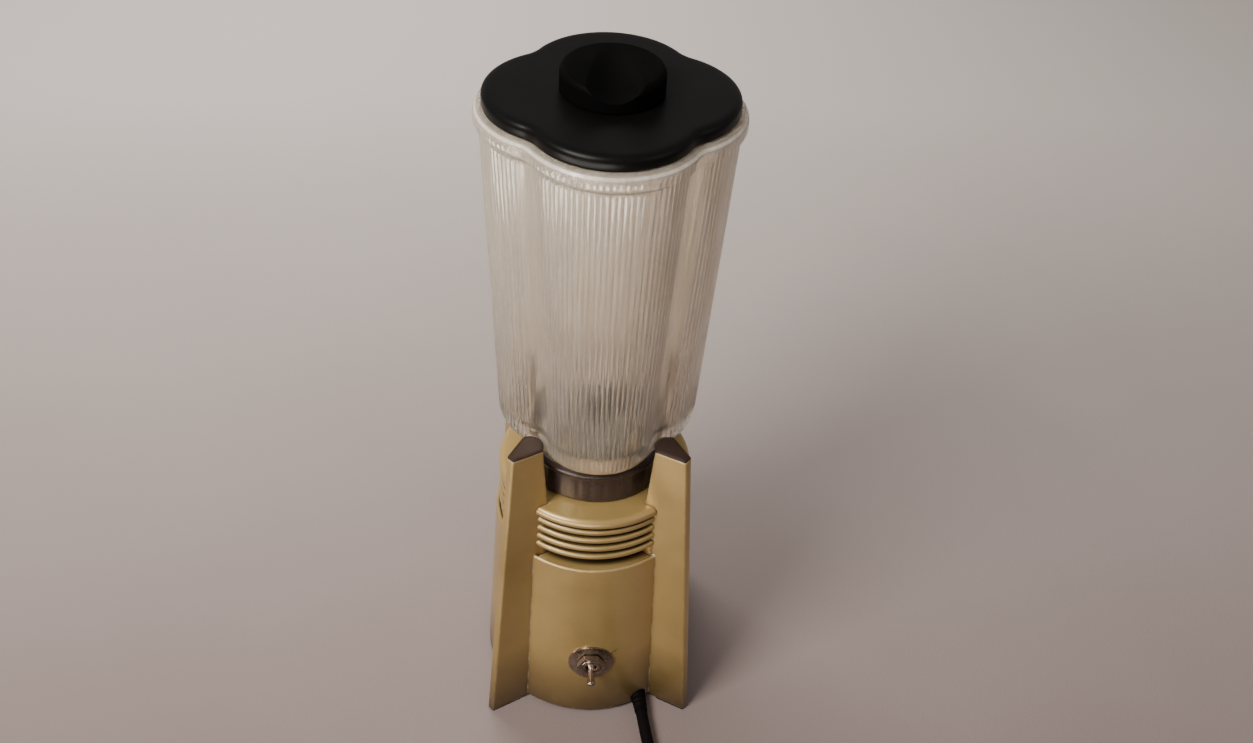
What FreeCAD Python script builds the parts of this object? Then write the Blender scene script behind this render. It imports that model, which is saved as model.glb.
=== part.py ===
import FreeCAD, Part
import math
import os
import Sketcher

from FreeCAD import Placement, Rotation, Vector

# Countertop blender: a painted four-finned base with a motor inside, a lobed glass jar and its lid.
# Millimetres. +Z is up, the front (switch) faces -Y, the origin is on the motor axis at table level.

# ---------------------------------------------------------------- driving dimensions

SIZES = {
    # fins: each is a hollow V that opens towards the axis; "reach" is a distance from the axis
    "fin_height": 197.5,
    "fin_foot_reach": 83.0,
    "fin_top_reach": 65.0,
    "fin_edge_half": 2.2,
    "fin_flare": 0.293,
    "fin_wall": 1.6,
    "fin_edge_wall": 2.5,
    "fin_edge_round": 1.2,
    "mouth_reach": 46.2,
    "mouth_lean": 0.053,
    "fin_clearance": 0.35,
    "foot_pad_thickness": 1.5,
    "foot_plug_depth": 6.0,
    "foot_length": 17.0,
    "cushion_lip": 1.2,
    "cushion_nose": 4.4,
    "cushion_nose_round": 6.0,
    # lower shell
    "shell_gap": 3.0,
    "shell_foot_radius": 61.25,
    "shell_rim_radius": 55.25,
    "shell_rim_height": 121.5,
    "shell_wall": 2.0,
    "shell_rim_round": 0.8,
    "ledge_height": 113.5,
    "ledge_thickness": 2.5,
    "ledge_width": 7.0,
    "post_radius": 4.0,
    "post_height": 22.0,
    "plate_thickness": 1.5,
    "plate_clearance": 0.4,
    # vent housing
    "ring_radius": 52.6,
    "ring_spread": 0.4,
    "ring_thickness": 3.6,
    "ring_pitch": 5.9,
    "ring_round": 1.2,
    "low_gap": 7.4,
    "cap_radius": 53.5,
    "cap_height": 5.2,
    "cap_skin": 3.5,
    "cap_round": 3.0,
    "cap_hole_radius": 17.0,
    "core_radius": 43.5,
    "core_wall": 2.5,
    "vent_flange": 4.0,
    "window_width": 44.0,
    # motor
    "bracket_thickness": 2.5,
    "bracket_radius": 40.0,
    "tab_width": 16.0,
    "hub_radius": 12.0,
    "hub_depth": 8.0,
    "bar_height": 26.0,
    "bar_thickness": 4.0,
    "bar_length": 78.0,
    "bolt_reach": 33.0,
    "bolt_radius": 1.8,
    "bolt_clearance": 0.2,
    "stator_radius": 36.0,
    "stator_ring": 6.0,
    "stator_height": 60.0,
    "stack_length": 32.0,
    "pole_width": 16.0,
    "air_gap": 0.6,
    "armature_radius": 21.4,
    "end_turn_length": 5.0,
    "shaft_radius": 4.0,
    "shaft_foot": 14.0,
    "running_clearance": 0.05,
    "bearing_wall": 3.0,
    "commutator_radius": 11.0,
    "commutator_height": 35.0,
    "commutator_length": 15.0,
    "brush_gap": 0.3,
    "brush_length": 9.0,
    "brush_side": 5.0,
    "spring_length": 8.0,
    "fan_radius": 30.5,
    "fan_height": 98.0,
    "fan_depth": 7.0,
    # coupling
    "coupling_radius": 12.5,
    "coupling_disc": 5.0,
    "prong_height": 6.0,
    "prong_side": 4.0,
    "prong_reach": 6.5,
    "coupling_drop": 14.0,
    "coupling_gap": 0.6,
    # toggle switch
    "switch_height": 46.5,
    "switch_width": 16.0,
    "switch_length": 26.0,
    "switch_depth": 24.0,
    "bushing_radius": 5.9,
    "bushing_bore": 3.3,
    "bushing_reach": 4.5,
    "washer_radius": 13.0,
    "washer_thickness": 1.0,
    "nut_corner_radius": 8.25,
    "nut_thickness": 2.8,
    "lever_length": 13.0,
    "lever_tip_radius": 2.5,
    "lever_ball_radius": 2.8,
    "lever_pin_radius": 0.9,
    "lever_pin_half": 3.0,
    # mains lead
    "cord_radius": 3.5,
    "gland_offset": 28.5,
    "gland_inner": 40.0,
    "gland_height": 5.4,
    "gland_radius": 4.8,
    "gland_length": 11.0,
    "relief_tip_radius": 3.8,
    "relief_length": 14.0,
    # jar
    "seat_gap": 0.3,
    "collar_flange": 3.0,
    "collar_height": 20.5,
    "collar_wall": 3.2,
    "thread_clearance": 0.3,
    "carrier_thickness": 2.5,
    "gasket_thickness": 2.0,
    "neck_radius": 35.5,
    "glass_wall": 4.2,
    "neck_length": 15.5,
    "shoulder_height": 16.0,
    "jar_foot_reach": 52.5,
    "jar_foot_centre": 24.0,
    "jar_foot_fillet": 9.0,
    "jar_top_reach": 60.4,
    "jar_top_centre": 20.0,
    "jar_top_fillet": 16.0,
    "jar_height": 376.4,
    "bead_proud": 2.4,
    "bead_height": 10.0,
    # blades
    "blade_shaft_radius": 4.0,
    "bush_radius": 7.0,
    "bush_length": 16.0,
    "blade_reach": 23.0,
    "blade_width": 12.0,
    "blade_thickness": 1.4,
    "blade_rise": 8.0,
    # lid
    "lid_thickness": 7.4,
    "lid_reach": 58.9,
    "lid_centre": 20.0,
    "lid_fillet": 17.9,
    "lid_round": 2.4,
    "lid_gap": 0.2,
    "skirt_depth": 4.5,
    "skirt_wall": 3.0,
    "skirt_clearance": 0.6,
    "filler_radius": 19.0,
    "filler_clearance": 0.3,
    "boss_radius": 24.0,
    "boss_height": 11.5,
    "boss_round": 3.0,
    "scoop_radius": 17.0,
    "scoop_sill": 5.0,
    "plug_wall": 2.5,
    "plug_depth": 11.0,
}

# fixed counts and angles
FIN_ANGLES = (45, 135, 225, 315)
AXIS_ANGLES = (0, 90, 180, 270)
RING_COUNT = 4
FAN_BLADES = 8
ARMATURE_SLOTS = 12
ROUND_STEPS = 4
HALF_ROOT = math.sqrt(0.5)
LEVER_REST_ANGLE = 17.0
SCOOP_SLOPE = 8.8
LEAD_TURN = 6.8

document = FreeCAD.newDocument("blender")
sheet = document.addObject("Spreadsheet::Sheet", "Sizes")


class Dim:
    """A length that knows both its number and the spreadsheet expression it comes from."""

    def __init__(self, number, text):
        self.number = number
        self.text = text

    @staticmethod
    def of(other):
        return other if isinstance(other, Dim) else Dim(float(other), repr(float(other)))

    def __add__(self, other):
        other = Dim.of(other)
        return Dim(self.number + other.number, f"({self.text} + {other.text})")

    def __sub__(self, other):
        other = Dim.of(other)
        return Dim(self.number - other.number, f"({self.text} - {other.text})")

    def __mul__(self, other):
        other = Dim.of(other)
        return Dim(self.number * other.number, f"({self.text} * {other.text})")

    def __truediv__(self, other):
        other = Dim.of(other)
        return Dim(self.number / other.number, f"({self.text} / {other.text})")

    def __radd__(self, other):
        return Dim.of(other) + self

    def __rsub__(self, other):
        return Dim.of(other) - self

    def __rmul__(self, other):
        return Dim.of(other) * self

    def __neg__(self):
        return Dim(0.0, "0") - self


class Sheet:
    """Read access to the spreadsheet: size.fin_wall is the Dim of that cell."""

    def __getattr__(self, alias):
        return Dim(float(sheet.get(alias)), f"Sizes.{alias}")


def fill_sheet():
    for row, (alias, value) in enumerate(SIZES.items(), start=1):
        sheet.set(f"A{row}", alias)
        sheet.set(f"B{row}", str(value))
        sheet.setAlias(f"B{row}", alias)
    document.recompute()


fill_sheet()
size = Sheet()
subparts = []


# ---------------------------------------------------------------- helpers

def bind(item, path, value):
    """Set a property to a number, and tie it to the sheet when the value comes from there."""
    value = Dim.of(value)
    if "Sizes." in value.text:
        item.setExpression(path, value.text)
    else:
        item.setExpression(path, None)
        setattr(item, path, value.number)


def place(item, x=0, y=0, z=0, rotation=None):
    """Put an object at a point that follows the sheet, turned by a fixed rotation."""
    item.Placement = Placement(Vector(0, 0, 0), rotation or Rotation())
    for letter, value in (("x", x), ("y", y), ("z", z)):
        item.setExpression(f".Placement.Base.{letter}", Dim.of(value).text)


def about_z(angle):
    return Rotation(Vector(0, 0, 1), angle)


TOWARDS_FRONT = Rotation(Vector(1, 0, 0), 90)
TOWARDS_RIGHT = Rotation(Vector(0, 1, 0), 90)
ALONG_X = Rotation(Vector(0, 1, 0), 90)
BACK_ALONG_X = Rotation(Vector(0, 1, 0), -90)


def cylinder(name, radius, height, x=0, y=0, z=0, rotation=None):
    item = document.addObject("Part::Cylinder", name)
    bind(item, "Radius", radius)
    bind(item, "Height", height)
    place(item, x, y, z, rotation)
    return item


def cone(name, low_radius, high_radius, height, x=0, y=0, z=0, rotation=None):
    item = document.addObject("Part::Cone", name)
    bind(item, "Radius1", low_radius)
    bind(item, "Radius2", high_radius)
    bind(item, "Height", height)
    place(item, x, y, z, rotation)
    return item


def ball(name, radius, x=0, y=0, z=0):
    item = document.addObject("Part::Sphere", name)
    bind(item, "Radius", radius)
    place(item, x, y, z)
    return item


def box(name, length, width, height, x=0, y=0, z=0, turn=0):
    """A box centred on its own X and Y, standing on z, turned about the Z axis of the whole part."""
    item = document.addObject("Part::Box", name)
    bind(item, "Length", length)
    bind(item, "Width", width)
    bind(item, "Height", height)
    corner_x = Dim.of(x) - Dim.of(length) / 2
    corner_y = Dim.of(y) - Dim.of(width) / 2
    cosine = round(math.cos(math.radians(turn)), 9)
    sine = round(math.sin(math.radians(turn)), 9)
    turned_x = corner_x * cosine - corner_y * sine
    turned_y = corner_x * sine + corner_y * cosine
    place(item, turned_x, turned_y, z, about_z(turn))
    return item


def fuse(name, items):
    item = document.addObject("Part::MultiFuse", name)
    item.Shapes = items
    return item


def cut(name, base, tools):
    item = document.addObject("Part::Cut", name)
    item.Base = base
    item.Tool = tools[0] if len(tools) == 1 else fuse(f"{name}_tools", tools)
    return item


def common(name, first, second):
    item = document.addObject("Part::MultiCommon", name)
    item.Shapes = [first, second]
    return item


def tube(name, radius, bore, height, x=0, y=0, z=0, rotation=None):
    """A plain ring; the bore runs right through."""
    outer = cylinder(f"{name}_outer", radius, height, x, y, z, rotation)
    inner = cylinder(f"{name}_inner", bore, height, x, y, z, rotation)
    return cut(name, outer, [inner])


def gather(name, items):
    """Several separate solids kept as one node, such as a set of identical screws."""
    item = document.addObject("Part::Compound", name)
    item.Links = items
    return item


def subpart(item, label):
    """Register a finished object as one node of the assembly."""
    item.Label = label
    subparts.append(item)
    return item


def new_body(name):
    return document.addObject("PartDesign::Body", name)


def origin_plane(body, role):
    return next(plane for plane in body.Origin.OriginFeatures if plane.Role == role)


def polygon_sketch(body, name, role, points, lift=None):
    """A closed outline whose every corner is held at its own two dimensions."""
    sketch = body.newObject("Sketcher::SketchObject", name)
    sketch.AttachmentSupport = [(origin_plane(body, role), "")]
    sketch.MapMode = "FlatFace"
    if lift is not None:
        sketch.setExpression("AttachmentOffset.Base.z", Dim.of(lift).text)
    corners = [(Dim.of(u), Dim.of(v)) for u, v in points]
    count = len(corners)
    for index in range(count):
        start = corners[index]
        end = corners[(index + 1) % count]
        sketch.addGeometry(Part.LineSegment(Vector(start[0].number, start[1].number, 0),
                                            Vector(end[0].number, end[1].number, 0)))
    for index in range(count):
        sketch.addConstraint(Sketcher.Constraint("Coincident", index, 2, (index + 1) % count, 1))
    for index, corner in enumerate(corners):
        for kind, axis, value in (("DistanceX", -2, corner[0]), ("DistanceY", -1, corner[1])):
            if value.number == 0.0:
                sketch.addConstraint(Sketcher.Constraint("PointOnObject", index, 1, axis))
                continue
            held = sketch.addConstraint(Sketcher.Constraint(kind, index, 1, value.number))
            if "Sizes." in value.text:
                sketch.setExpression(f"Constraints[{held}]", value.text)
    return sketch


def revolved(name, points):
    """A body turned about Z from an outline of (radius, height) corners."""
    body = new_body(name)
    sketch = polygon_sketch(body, f"{name}_profile", "XZ_Plane", points)
    turn = body.newObject("PartDesign::Revolution", f"{name}_turn")
    turn.Profile = sketch
    turn.ReferenceAxis = (sketch, ["V_Axis"])
    turn.Angle = 360
    return body


def lofted(name, low, high, low_points, high_points):
    """A body between two flat outlines with the same number of corners."""
    body = new_body(name)
    first = polygon_sketch(body, f"{name}_low", "XY_Plane", low_points, low)
    second = polygon_sketch(body, f"{name}_high", "XY_Plane", high_points, high)
    loft = body.newObject("PartDesign::AdditiveLoft", f"{name}_loft")
    loft.Profile = first
    loft.Sections = [second]
    loft.Ruled = True
    return body


def padded(name, points, low, height):
    """A body raised from a flat outline."""
    body = new_body(name)
    sketch = polygon_sketch(body, f"{name}_outline", "XY_Plane", points, low)
    pad = body.newObject("PartDesign::Pad", f"{name}_pad")
    pad.Profile = sketch
    bind(pad, "Length", height)
    return body


def round_edges(body, name, radius, wanted):
    """Fillet the edges of a body's last feature that a test picks out."""
    document.recompute()
    base = body.Tip
    names = [f"Edge{index}" for index, edge in enumerate(base.Shape.Edges, start=1) if wanted(edge)]
    fillet = body.newObject("PartDesign::Fillet", name)
    fillet.Base = (base, names)
    bind(fillet, "Radius", radius)
    body.Tip = fillet
    return body


def is_circle(edge, radius, height):
    """Is this edge a full or part circle of that radius about Z at that height?"""
    curve = edge.Curve
    if not isinstance(curve, Part.Circle):
        return False
    return abs(curve.Radius - radius.number) < 1e-4 and abs(curve.Center.z - height.number) < 1e-4


# ---------------------------------------------------------------- levels and profiles shared by pieces

seat = size.shell_rim_height + size.low_gap + RING_COUNT * size.ring_pitch + size.cap_height
fin_metal_top = size.fin_height - size.cushion_lip
cushion_foot = seat + size.seat_gap
collar_foot = seat + size.seat_gap
carrier_foot = collar_foot + size.collar_flange
gasket_foot = carrier_foot + size.carrier_thickness
neck_foot = gasket_foot + size.gasket_thickness
shoulder_foot = neck_foot + size.neck_length
jar_body_foot = shoulder_foot + size.shoulder_height
driving_top = seat - size.coupling_drop
shaft_top = driving_top + size.prong_height / 2
plate_foot = size.shell_gap + 1.0
lid_foot = size.jar_height + size.lid_gap
lid_top = lid_foot + size.lid_thickness


def shell_radius(height):
    """Outer radius of the conical shell at a height."""
    taper = (size.shell_foot_radius - size.shell_rim_radius) / (size.shell_rim_height - size.shell_gap)
    return size.shell_foot_radius - (height - size.shell_gap) * taper


def mouth(height):
    """Distance from the axis to the open edge of a fin at a height."""
    return size.mouth_reach + (height - seat) * size.mouth_lean


def fin_reach(height):
    """Distance from the axis to the outer edge of a fin at a height."""
    lean = (size.fin_foot_reach - size.fin_top_reach) / (size.fin_height - size.foot_pad_thickness)
    return size.fin_foot_reach - (height - size.foot_pad_thickness) * lean


def fin_half(height, reach):
    """Half the thickness of a fin at a height and a distance from the axis."""
    return size.fin_edge_half + (fin_reach(height) - reach) * size.fin_flare


def wedge(height, outer, inner, shrink=0):
    """Outline of a fin's V section between two distances from the axis, thinned by shrink a side."""
    outer_half = fin_half(height, outer) - shrink
    inner_half = fin_half(height, inner) - shrink
    return [(inner, -inner_half), (outer, -outer_half), (outer, outer_half), (inner, inner_half)]


def rounded_wedge(height, outer, inner):
    """The same V section with its two outer corners rounded in short steps."""
    flare = SIZES["fin_flare"]
    radius = size.fin_edge_round
    centre_reach = outer - radius
    centre_half = size.fin_edge_half + radius * (flare - math.hypot(1.0, flare))
    side_angle = math.atan2(1.0, flare)
    corner = []
    for step in range(ROUND_STEPS + 1):
        angle = side_angle * step / ROUND_STEPS
        corner.append((centre_reach + radius * math.cos(angle), centre_half + radius * math.sin(angle)))
    inner_half = fin_half(height, inner)
    lower = [(u, -v) for u, v in reversed(corner)]
    return [(inner, -inner_half)] + lower + corner + [(inner, inner_half)]


# ---------------------------------------------------------------- base casting

def fin_solid(angle):
    low = size.foot_pad_thickness
    body = lofted(f"fin_{angle}", low, fin_metal_top,
                  rounded_wedge(low, fin_reach(low), mouth(low)),
                  rounded_wedge(fin_metal_top, fin_reach(fin_metal_top), mouth(fin_metal_top)))
    body.Placement = Placement(Vector(0, 0, 0), about_z(angle))
    return body


def fin_hollow(angle):
    low = Dim.of(0)
    shrink = size.fin_wall * math.hypot(1.0, SIZES["fin_flare"])
    inward = 10.0
    body = lofted(f"fin_hollow_{angle}", low, size.fin_height,
                  wedge(low, fin_reach(low) - size.fin_edge_wall, mouth(low) - inward, shrink),
                  wedge(size.fin_height, fin_reach(size.fin_height) - size.fin_edge_wall,
                        mouth(size.fin_height) - inward, shrink))
    body.Placement = Placement(Vector(0, 0, 0), about_z(angle))
    return body


def make_base_housing():
    ledge_foot = size.ledge_height - size.ledge_thickness
    ledge_bore = shell_radius(size.ledge_height) - size.shell_wall - size.ledge_width
    shell = revolved("shell", [
        (shell_radius(size.shell_gap) - size.shell_wall, size.shell_gap),
        (shell_radius(size.shell_gap), size.shell_gap),
        (shell_radius(size.shell_rim_height), size.shell_rim_height),
        (shell_radius(size.shell_rim_height) - size.shell_wall, size.shell_rim_height),
        (shell_radius(size.ledge_height) - size.shell_wall, size.ledge_height),
        (ledge_bore, size.ledge_height),
        (ledge_bore, ledge_foot),
        (shell_radius(ledge_foot) - size.shell_wall, ledge_foot)])
    rim = size.shell_rim_height
    round_edges(shell, "shell_rim_round", size.shell_rim_round,
                lambda edge: is_circle(edge, shell_radius(rim), rim)
                or is_circle(edge, shell_radius(rim) - size.shell_wall, rim))
    cavity = cone("fin_root_cavity", shell_radius(Dim.of(0)) - size.shell_wall,
                  shell_radius(ledge_foot) - size.shell_wall, ledge_foot)
    fins = cut("fins_outside_shell", fuse("fins", [fin_solid(angle) for angle in FIN_ANGLES]), [cavity])
    posts = screw_set("post", post_reach(), plate_foot + size.plate_thickness,
                      size.post_height - plate_foot - size.plate_thickness, size.post_radius)
    tools = [fin_hollow(angle) for angle in FIN_ANGLES]
    tools += screw_set("post_hole", post_reach(), plate_foot, size.post_height - plate_foot - 2, 1.6)
    tools += screw_set("ledge_hole", ledge_screw_reach(), ledge_foot - 1, size.ledge_thickness + 2, 1.7)
    tools += [cylinder("switch_hole", size.bushing_radius + size.thread_clearance, 30,
                       0, -size.washer_radius * 3, size.switch_height, TOWARDS_FRONT),
              along_lead("gland_hole", size.gland_radius + 0.1, size.gland_radius + 0.1, Dim.of(0), 40)]
    whole = fuse("casting", [shell, fins] + posts)
    subpart(cut("base_housing", whole, tools), "base_housing")


def post_reach():
    return shell_radius(plate_foot) - size.shell_wall - size.post_radius + 0.3


def along_lead(name, near_radius, far_radius, start, length):
    """A cone or cylinder on the line along which the mains lead leaves the base."""
    side = math.sin(math.radians(LEAD_TURN))
    forward = math.cos(math.radians(LEAD_TURN))
    x = size.gland_offset + start * side
    y = -size.gland_inner - start * forward
    turned = about_z(LEAD_TURN).multiply(TOWARDS_FRONT)
    if near_radius is far_radius or Dim.of(near_radius).number == Dim.of(far_radius).number:
        return cylinder(name, near_radius, length, x, y, size.gland_height, turned)
    return cone(name, near_radius, far_radius, length, x, y, size.gland_height, turned)


def ledge_screw_reach():
    return shell_radius(size.ledge_height) - size.shell_wall - size.ledge_width / 2


def plate_radius():
    return shell_radius(size.shell_gap) - size.shell_wall - size.plate_clearance


def screw_set(name, reach, low, height, radius):
    """Four cylinders on the X and Y axes."""
    return [cylinder(f"{name}_{angle}", radius, height,
                     reach * round(math.cos(math.radians(angle)), 9),
                     reach * round(math.sin(math.radians(angle)), 9), low)
            for angle in AXIS_ANGLES]


def make_bottom_plate():
    low = plate_foot
    disc = cylinder("plate_disc", plate_radius(), size.plate_thickness, 0, 0, low)
    tools = screw_set("plate_hole", post_reach(), low - 1, size.plate_thickness + 2, 1.7)
    notch_radius = size.gland_radius + 0.6
    tools.append(along_lead("plate_gland_notch", notch_radius, notch_radius, Dim.of(-10), 50))
    slot_count = 5
    for index in range(slot_count):
        tools.append(box(f"plate_slot_{index}", 36, 3, size.plate_thickness + 2, 0,
                         (index - (slot_count - 1) / 2) * 9, low - 1))
    subpart(cut("bottom_plate", disc, tools), "bottom_plate")
    screws = []
    for angle in AXIS_ANGLES:
        x = post_reach() * round(math.cos(math.radians(angle)), 9)
        y = post_reach() * round(math.sin(math.radians(angle)), 9)
        head = cylinder(f"plate_screw_head_{angle}", 3.0, 1.6, x, y, low - 1.6)
        shank = cylinder(f"plate_screw_shank_{angle}", 1.5, 12, x, y, low - 1.6)
        screws.append(fuse(f"plate_screw_{angle}", [head, shank]))
    subpart(gather("plate_screws", screws), "plate_screws")


def make_feet():
    for number, angle in enumerate(FIN_ANGLES, start=1):
        top = size.foot_pad_thickness
        outer = size.fin_foot_reach - 0.4
        inner = outer - size.foot_length
        shrink = size.fin_wall * math.hypot(1.0, SIZES["fin_flare"]) + 0.15
        pad = padded(f"foot_pad_{angle}", wedge(top, outer, inner, 0.2), Dim.of(0), top)
        plug = padded(f"foot_plug_{angle}",
                      wedge(top, outer - size.fin_edge_wall - 0.4, inner, shrink), top,
                      size.foot_plug_depth)
        foot = fuse(f"rubber_foot_{number}", [pad, plug])
        foot.Placement = Placement(Vector(0, 0, 0), about_z(angle))
        subpart(foot, f"rubber_foot_{number}")


def make_cushions():
    for number, angle in enumerate(FIN_ANGLES, start=1):
        low = cushion_foot
        high = fin_metal_top
        shrink = size.fin_wall * math.hypot(1.0, SIZES["fin_flare"]) + 0.05

        def core_outline(height):
            return wedge(height, fin_reach(height) - size.fin_edge_wall - 0.3, mouth(height) - 0.5, shrink)

        def nose_outline(height):
            rim = mouth(height) - 0.05
            half = fin_half(height, rim)
            tip = rim - size.cushion_nose
            return [(rim, -half), (rim, half), (tip, half * 0.5), (tip, half * -0.5)]

        core = lofted(f"cushion_core_{angle}", low, high, core_outline(low), core_outline(high))
        nose = lofted(f"cushion_nose_{angle}", low, high, nose_outline(low), nose_outline(high))
        tip_low = (mouth(low) - 0.05 - size.cushion_nose).number

        def is_nose_edge(edge, tip_low=tip_low, low=low.number):
            ends = sorted((vertex.Point for vertex in edge.Vertexes), key=lambda point: point.z)
            if ends[1].z - ends[0].z < 1.0:
                return False
            return abs(ends[0].x - tip_low) < 1e-3 and abs(ends[0].z - low) < 1e-3

        round_edges(nose, f"cushion_nose_round_{angle}", size.cushion_nose_round, is_nose_edge)
        rim = mouth(high)
        half = fin_half(high, rim)
        tip = rim - size.cushion_nose
        reach = fin_reach(high)
        cap = padded(f"cushion_cap_{angle}",
                     [(reach - 0.6, -size.fin_edge_half), (reach - 0.6, size.fin_edge_half), (rim, half),
                      (tip, half * 0.5), (tip, half * -0.5), (rim, -half)],
                     high, size.cushion_lip)
        tip_number = tip.number

        def is_cap_edge(edge, tip=tip_number):
            ends = [vertex.Point for vertex in edge.Vertexes]
            return abs(ends[0].z - ends[1].z) > 0.1 and abs(ends[0].x - tip) < 1e-3

        round_edges(cap, f"cushion_cap_round_{angle}", size.cushion_nose_round, is_cap_edge)
        cushion = fuse(f"jar_cushion_{number}", [core, nose, cap])
        cushion.Placement = Placement(Vector(0, 0, 0), about_z(angle))
        subpart(cushion, f"jar_cushion_{number}")


# ---------------------------------------------------------------- vent housing

def make_vent_housing():
    flange_low = size.ledge_height + size.bracket_thickness
    flange_radius = shell_radius(size.shell_rim_height) - size.shell_wall - size.plate_clearance
    bore = size.core_radius - size.core_wall
    cap_low = seat - size.cap_height
    profile = [(bore, flange_low), (flange_radius, flange_low),
               (flange_radius, flange_low + size.vent_flange),
               (size.core_radius, flange_low + size.vent_flange)]
    ring_lows = [size.shell_rim_height + size.low_gap + index * size.ring_pitch
                 for index in range(RING_COUNT)]
    ring_radii = [size.ring_radius + (RING_COUNT - 1 - index) * size.ring_spread
                  for index in range(RING_COUNT)]
    for low, radius in zip(ring_lows, ring_radii):
        profile += [(size.core_radius, low), (radius, low), (radius, low + size.ring_thickness),
                    (size.core_radius, low + size.ring_thickness)]
    profile += [(size.core_radius, cap_low), (size.cap_radius, cap_low), (size.cap_radius, seat),
                (size.cap_hole_radius, seat), (size.cap_hole_radius, seat - size.cap_skin),
                (bore, seat - size.cap_skin)]
    housing = revolved("vent_turned", profile)
    round_edges(housing, "vent_cap_round", size.cap_round,
                lambda edge: is_circle(edge, size.cap_radius, seat))
    round_edges(housing, "vent_ring_round", size.ring_round,
                lambda edge: is_circle(edge, size.cap_radius, cap_low)
                or any(is_circle(edge, radius, low) or is_circle(edge, radius, low + size.ring_thickness)
                       for low, radius in zip(ring_lows, ring_radii)))
    tools = []
    low = size.ledge_height
    high = seat + 1
    for angle in FIN_ANGLES:
        def slot_outline(height):
            return wedge(height, fin_reach(height) + 2, mouth(height) - size.fin_clearance,
                         -size.fin_clearance)

        slot = lofted(f"fin_slot_{angle}", low, high, slot_outline(low), slot_outline(high))
        slot.Placement = Placement(Vector(0, 0, 0), about_z(angle))
        tools.append(slot)
    gaps = [size.shell_rim_height] + [low + size.ring_thickness for low in ring_lows]
    heights = [size.low_gap] + [size.ring_pitch - size.ring_thickness] * RING_COUNT
    for index, (foot, height) in enumerate(zip(gaps, heights)):
        tools.append(box(f"window_x_{index}", 2 * size.core_radius + 2, size.window_width, height, 0, 0, foot))
        tools.append(box(f"window_y_{index}", size.window_width, 2 * size.core_radius + 2, height, 0, 0, foot))
    tools += screw_set("vent_screw_hole", ledge_screw_reach(), flange_low - 1, size.vent_flange, 1.6)
    subpart(cut("vent_housing", housing, tools), "vent_housing")
    screws = []
    for angle in AXIS_ANGLES:
        x = ledge_screw_reach() * round(math.cos(math.radians(angle)), 9)
        y = ledge_screw_reach() * round(math.sin(math.radians(angle)), 9)
        foot = size.ledge_height - size.ledge_thickness
        head = cylinder(f"vent_screw_head_{angle}", 3.0, 2.0, x, y, foot - 2.0)
        shank = cylinder(f"vent_screw_shank_{angle}", 1.5, size.ledge_thickness + size.bracket_thickness + 4.5,
                         x, y, foot - 2.0)
        screws.append(fuse(f"vent_screw_{angle}", [head, shank]))
    subpart(gather("vent_screws", screws), "vent_screws")


# ---------------------------------------------------------------- motor

def make_brackets():
    low = size.ledge_height
    disc = cylinder("bracket_disc", size.bracket_radius, size.bracket_thickness, 0, 0, low)
    span = 2 * (shell_radius(size.ledge_height) - size.shell_wall - size.plate_clearance - 0.4)
    tab_x = box("bracket_tab_x", span, size.tab_width, size.bracket_thickness, 0, 0, low)
    tab_y = box("bracket_tab_y", size.tab_width, span, size.bracket_thickness, 0, 0, low)
    hub = cylinder("bracket_hub", size.hub_radius, size.hub_depth, 0, 0, low - size.hub_depth)
    bearing_radius = size.shaft_radius + size.running_clearance + size.bearing_wall
    depth = size.hub_depth + size.bracket_thickness
    tools = [cylinder("bracket_bore", bearing_radius, depth, 0, 0, low - size.hub_depth)]
    tools += screw_set("bracket_hole", ledge_screw_reach(), low - 1, size.bracket_thickness + 2, 1.7)
    for side in (-1, 1):
        tools.append(cylinder(f"bracket_bolt_hole_{side + 1}", size.bolt_radius, size.bracket_thickness + 2,
                              size.bolt_reach * side, 0, low - 1))
        for front in (-1, 1):
            tools.append(cylinder(f"bracket_air_{side + 1}_{front + 1}", 7.0, size.bracket_thickness + 2,
                                  HALF_ROOT * 28 * side, HALF_ROOT * 28 * front, low - 1))
    subpart(cut("motor_bracket_upper", fuse("bracket_solid", [disc, tab_x, tab_y, hub]), tools),
            "motor_bracket_upper")
    subpart(tube("upper_bearing", bearing_radius, size.shaft_radius + size.running_clearance, depth,
                 0, 0, low - size.hub_depth), "upper_bearing")

    bar = box("bar_solid", size.bar_length, size.tab_width, size.bar_thickness, 0, 0, size.bar_height)
    bar_hub = cylinder("bar_hub", size.hub_radius, size.bar_thickness + 4, 0, 0, size.bar_height - 4)
    tools = [cylinder("bar_bore", bearing_radius, size.bar_thickness + 4, 0, 0, size.bar_height - 4)]
    tools += [cylinder(f"bar_bolt_hole_{side + 1}", size.bolt_radius + size.bolt_clearance,
                       size.bar_thickness + 2, size.bolt_reach * side, 0, size.bar_height - 1)
              for side in (-1, 1)]
    subpart(cut("motor_bracket_lower", fuse("bar_whole", [bar, bar_hub]), tools), "motor_bracket_lower")
    subpart(tube("lower_bearing", bearing_radius, size.shaft_radius + size.running_clearance,
                 size.bar_thickness + 4, 0, 0, size.bar_height - 4), "lower_bearing")

    bolts = []
    for side in (-1, 1):
        reach = size.bolt_reach * side
        head = cylinder(f"bolt_head_{side + 1}", size.bolt_radius * 1.8, 2.5, reach, 0, size.bar_height - 2.5)
        shank = cylinder(f"bolt_shank_{side + 1}", size.bolt_radius,
                         size.ledge_height + size.bracket_thickness - size.bar_height + 2.5,
                         reach, 0, size.bar_height - 2.5)
        spacer = tube(f"bolt_spacer_{side + 1}", size.bolt_radius * 1.6, size.bolt_radius,
                      size.stator_height - size.bar_height - size.bar_thickness, reach, 0,
                      size.bar_height + size.bar_thickness)
        bolts.append(fuse(f"motor_bolt_{side + 1}", [head, shank, spacer]))
    subpart(gather("motor_bolts", bolts), "motor_bolts")


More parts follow.
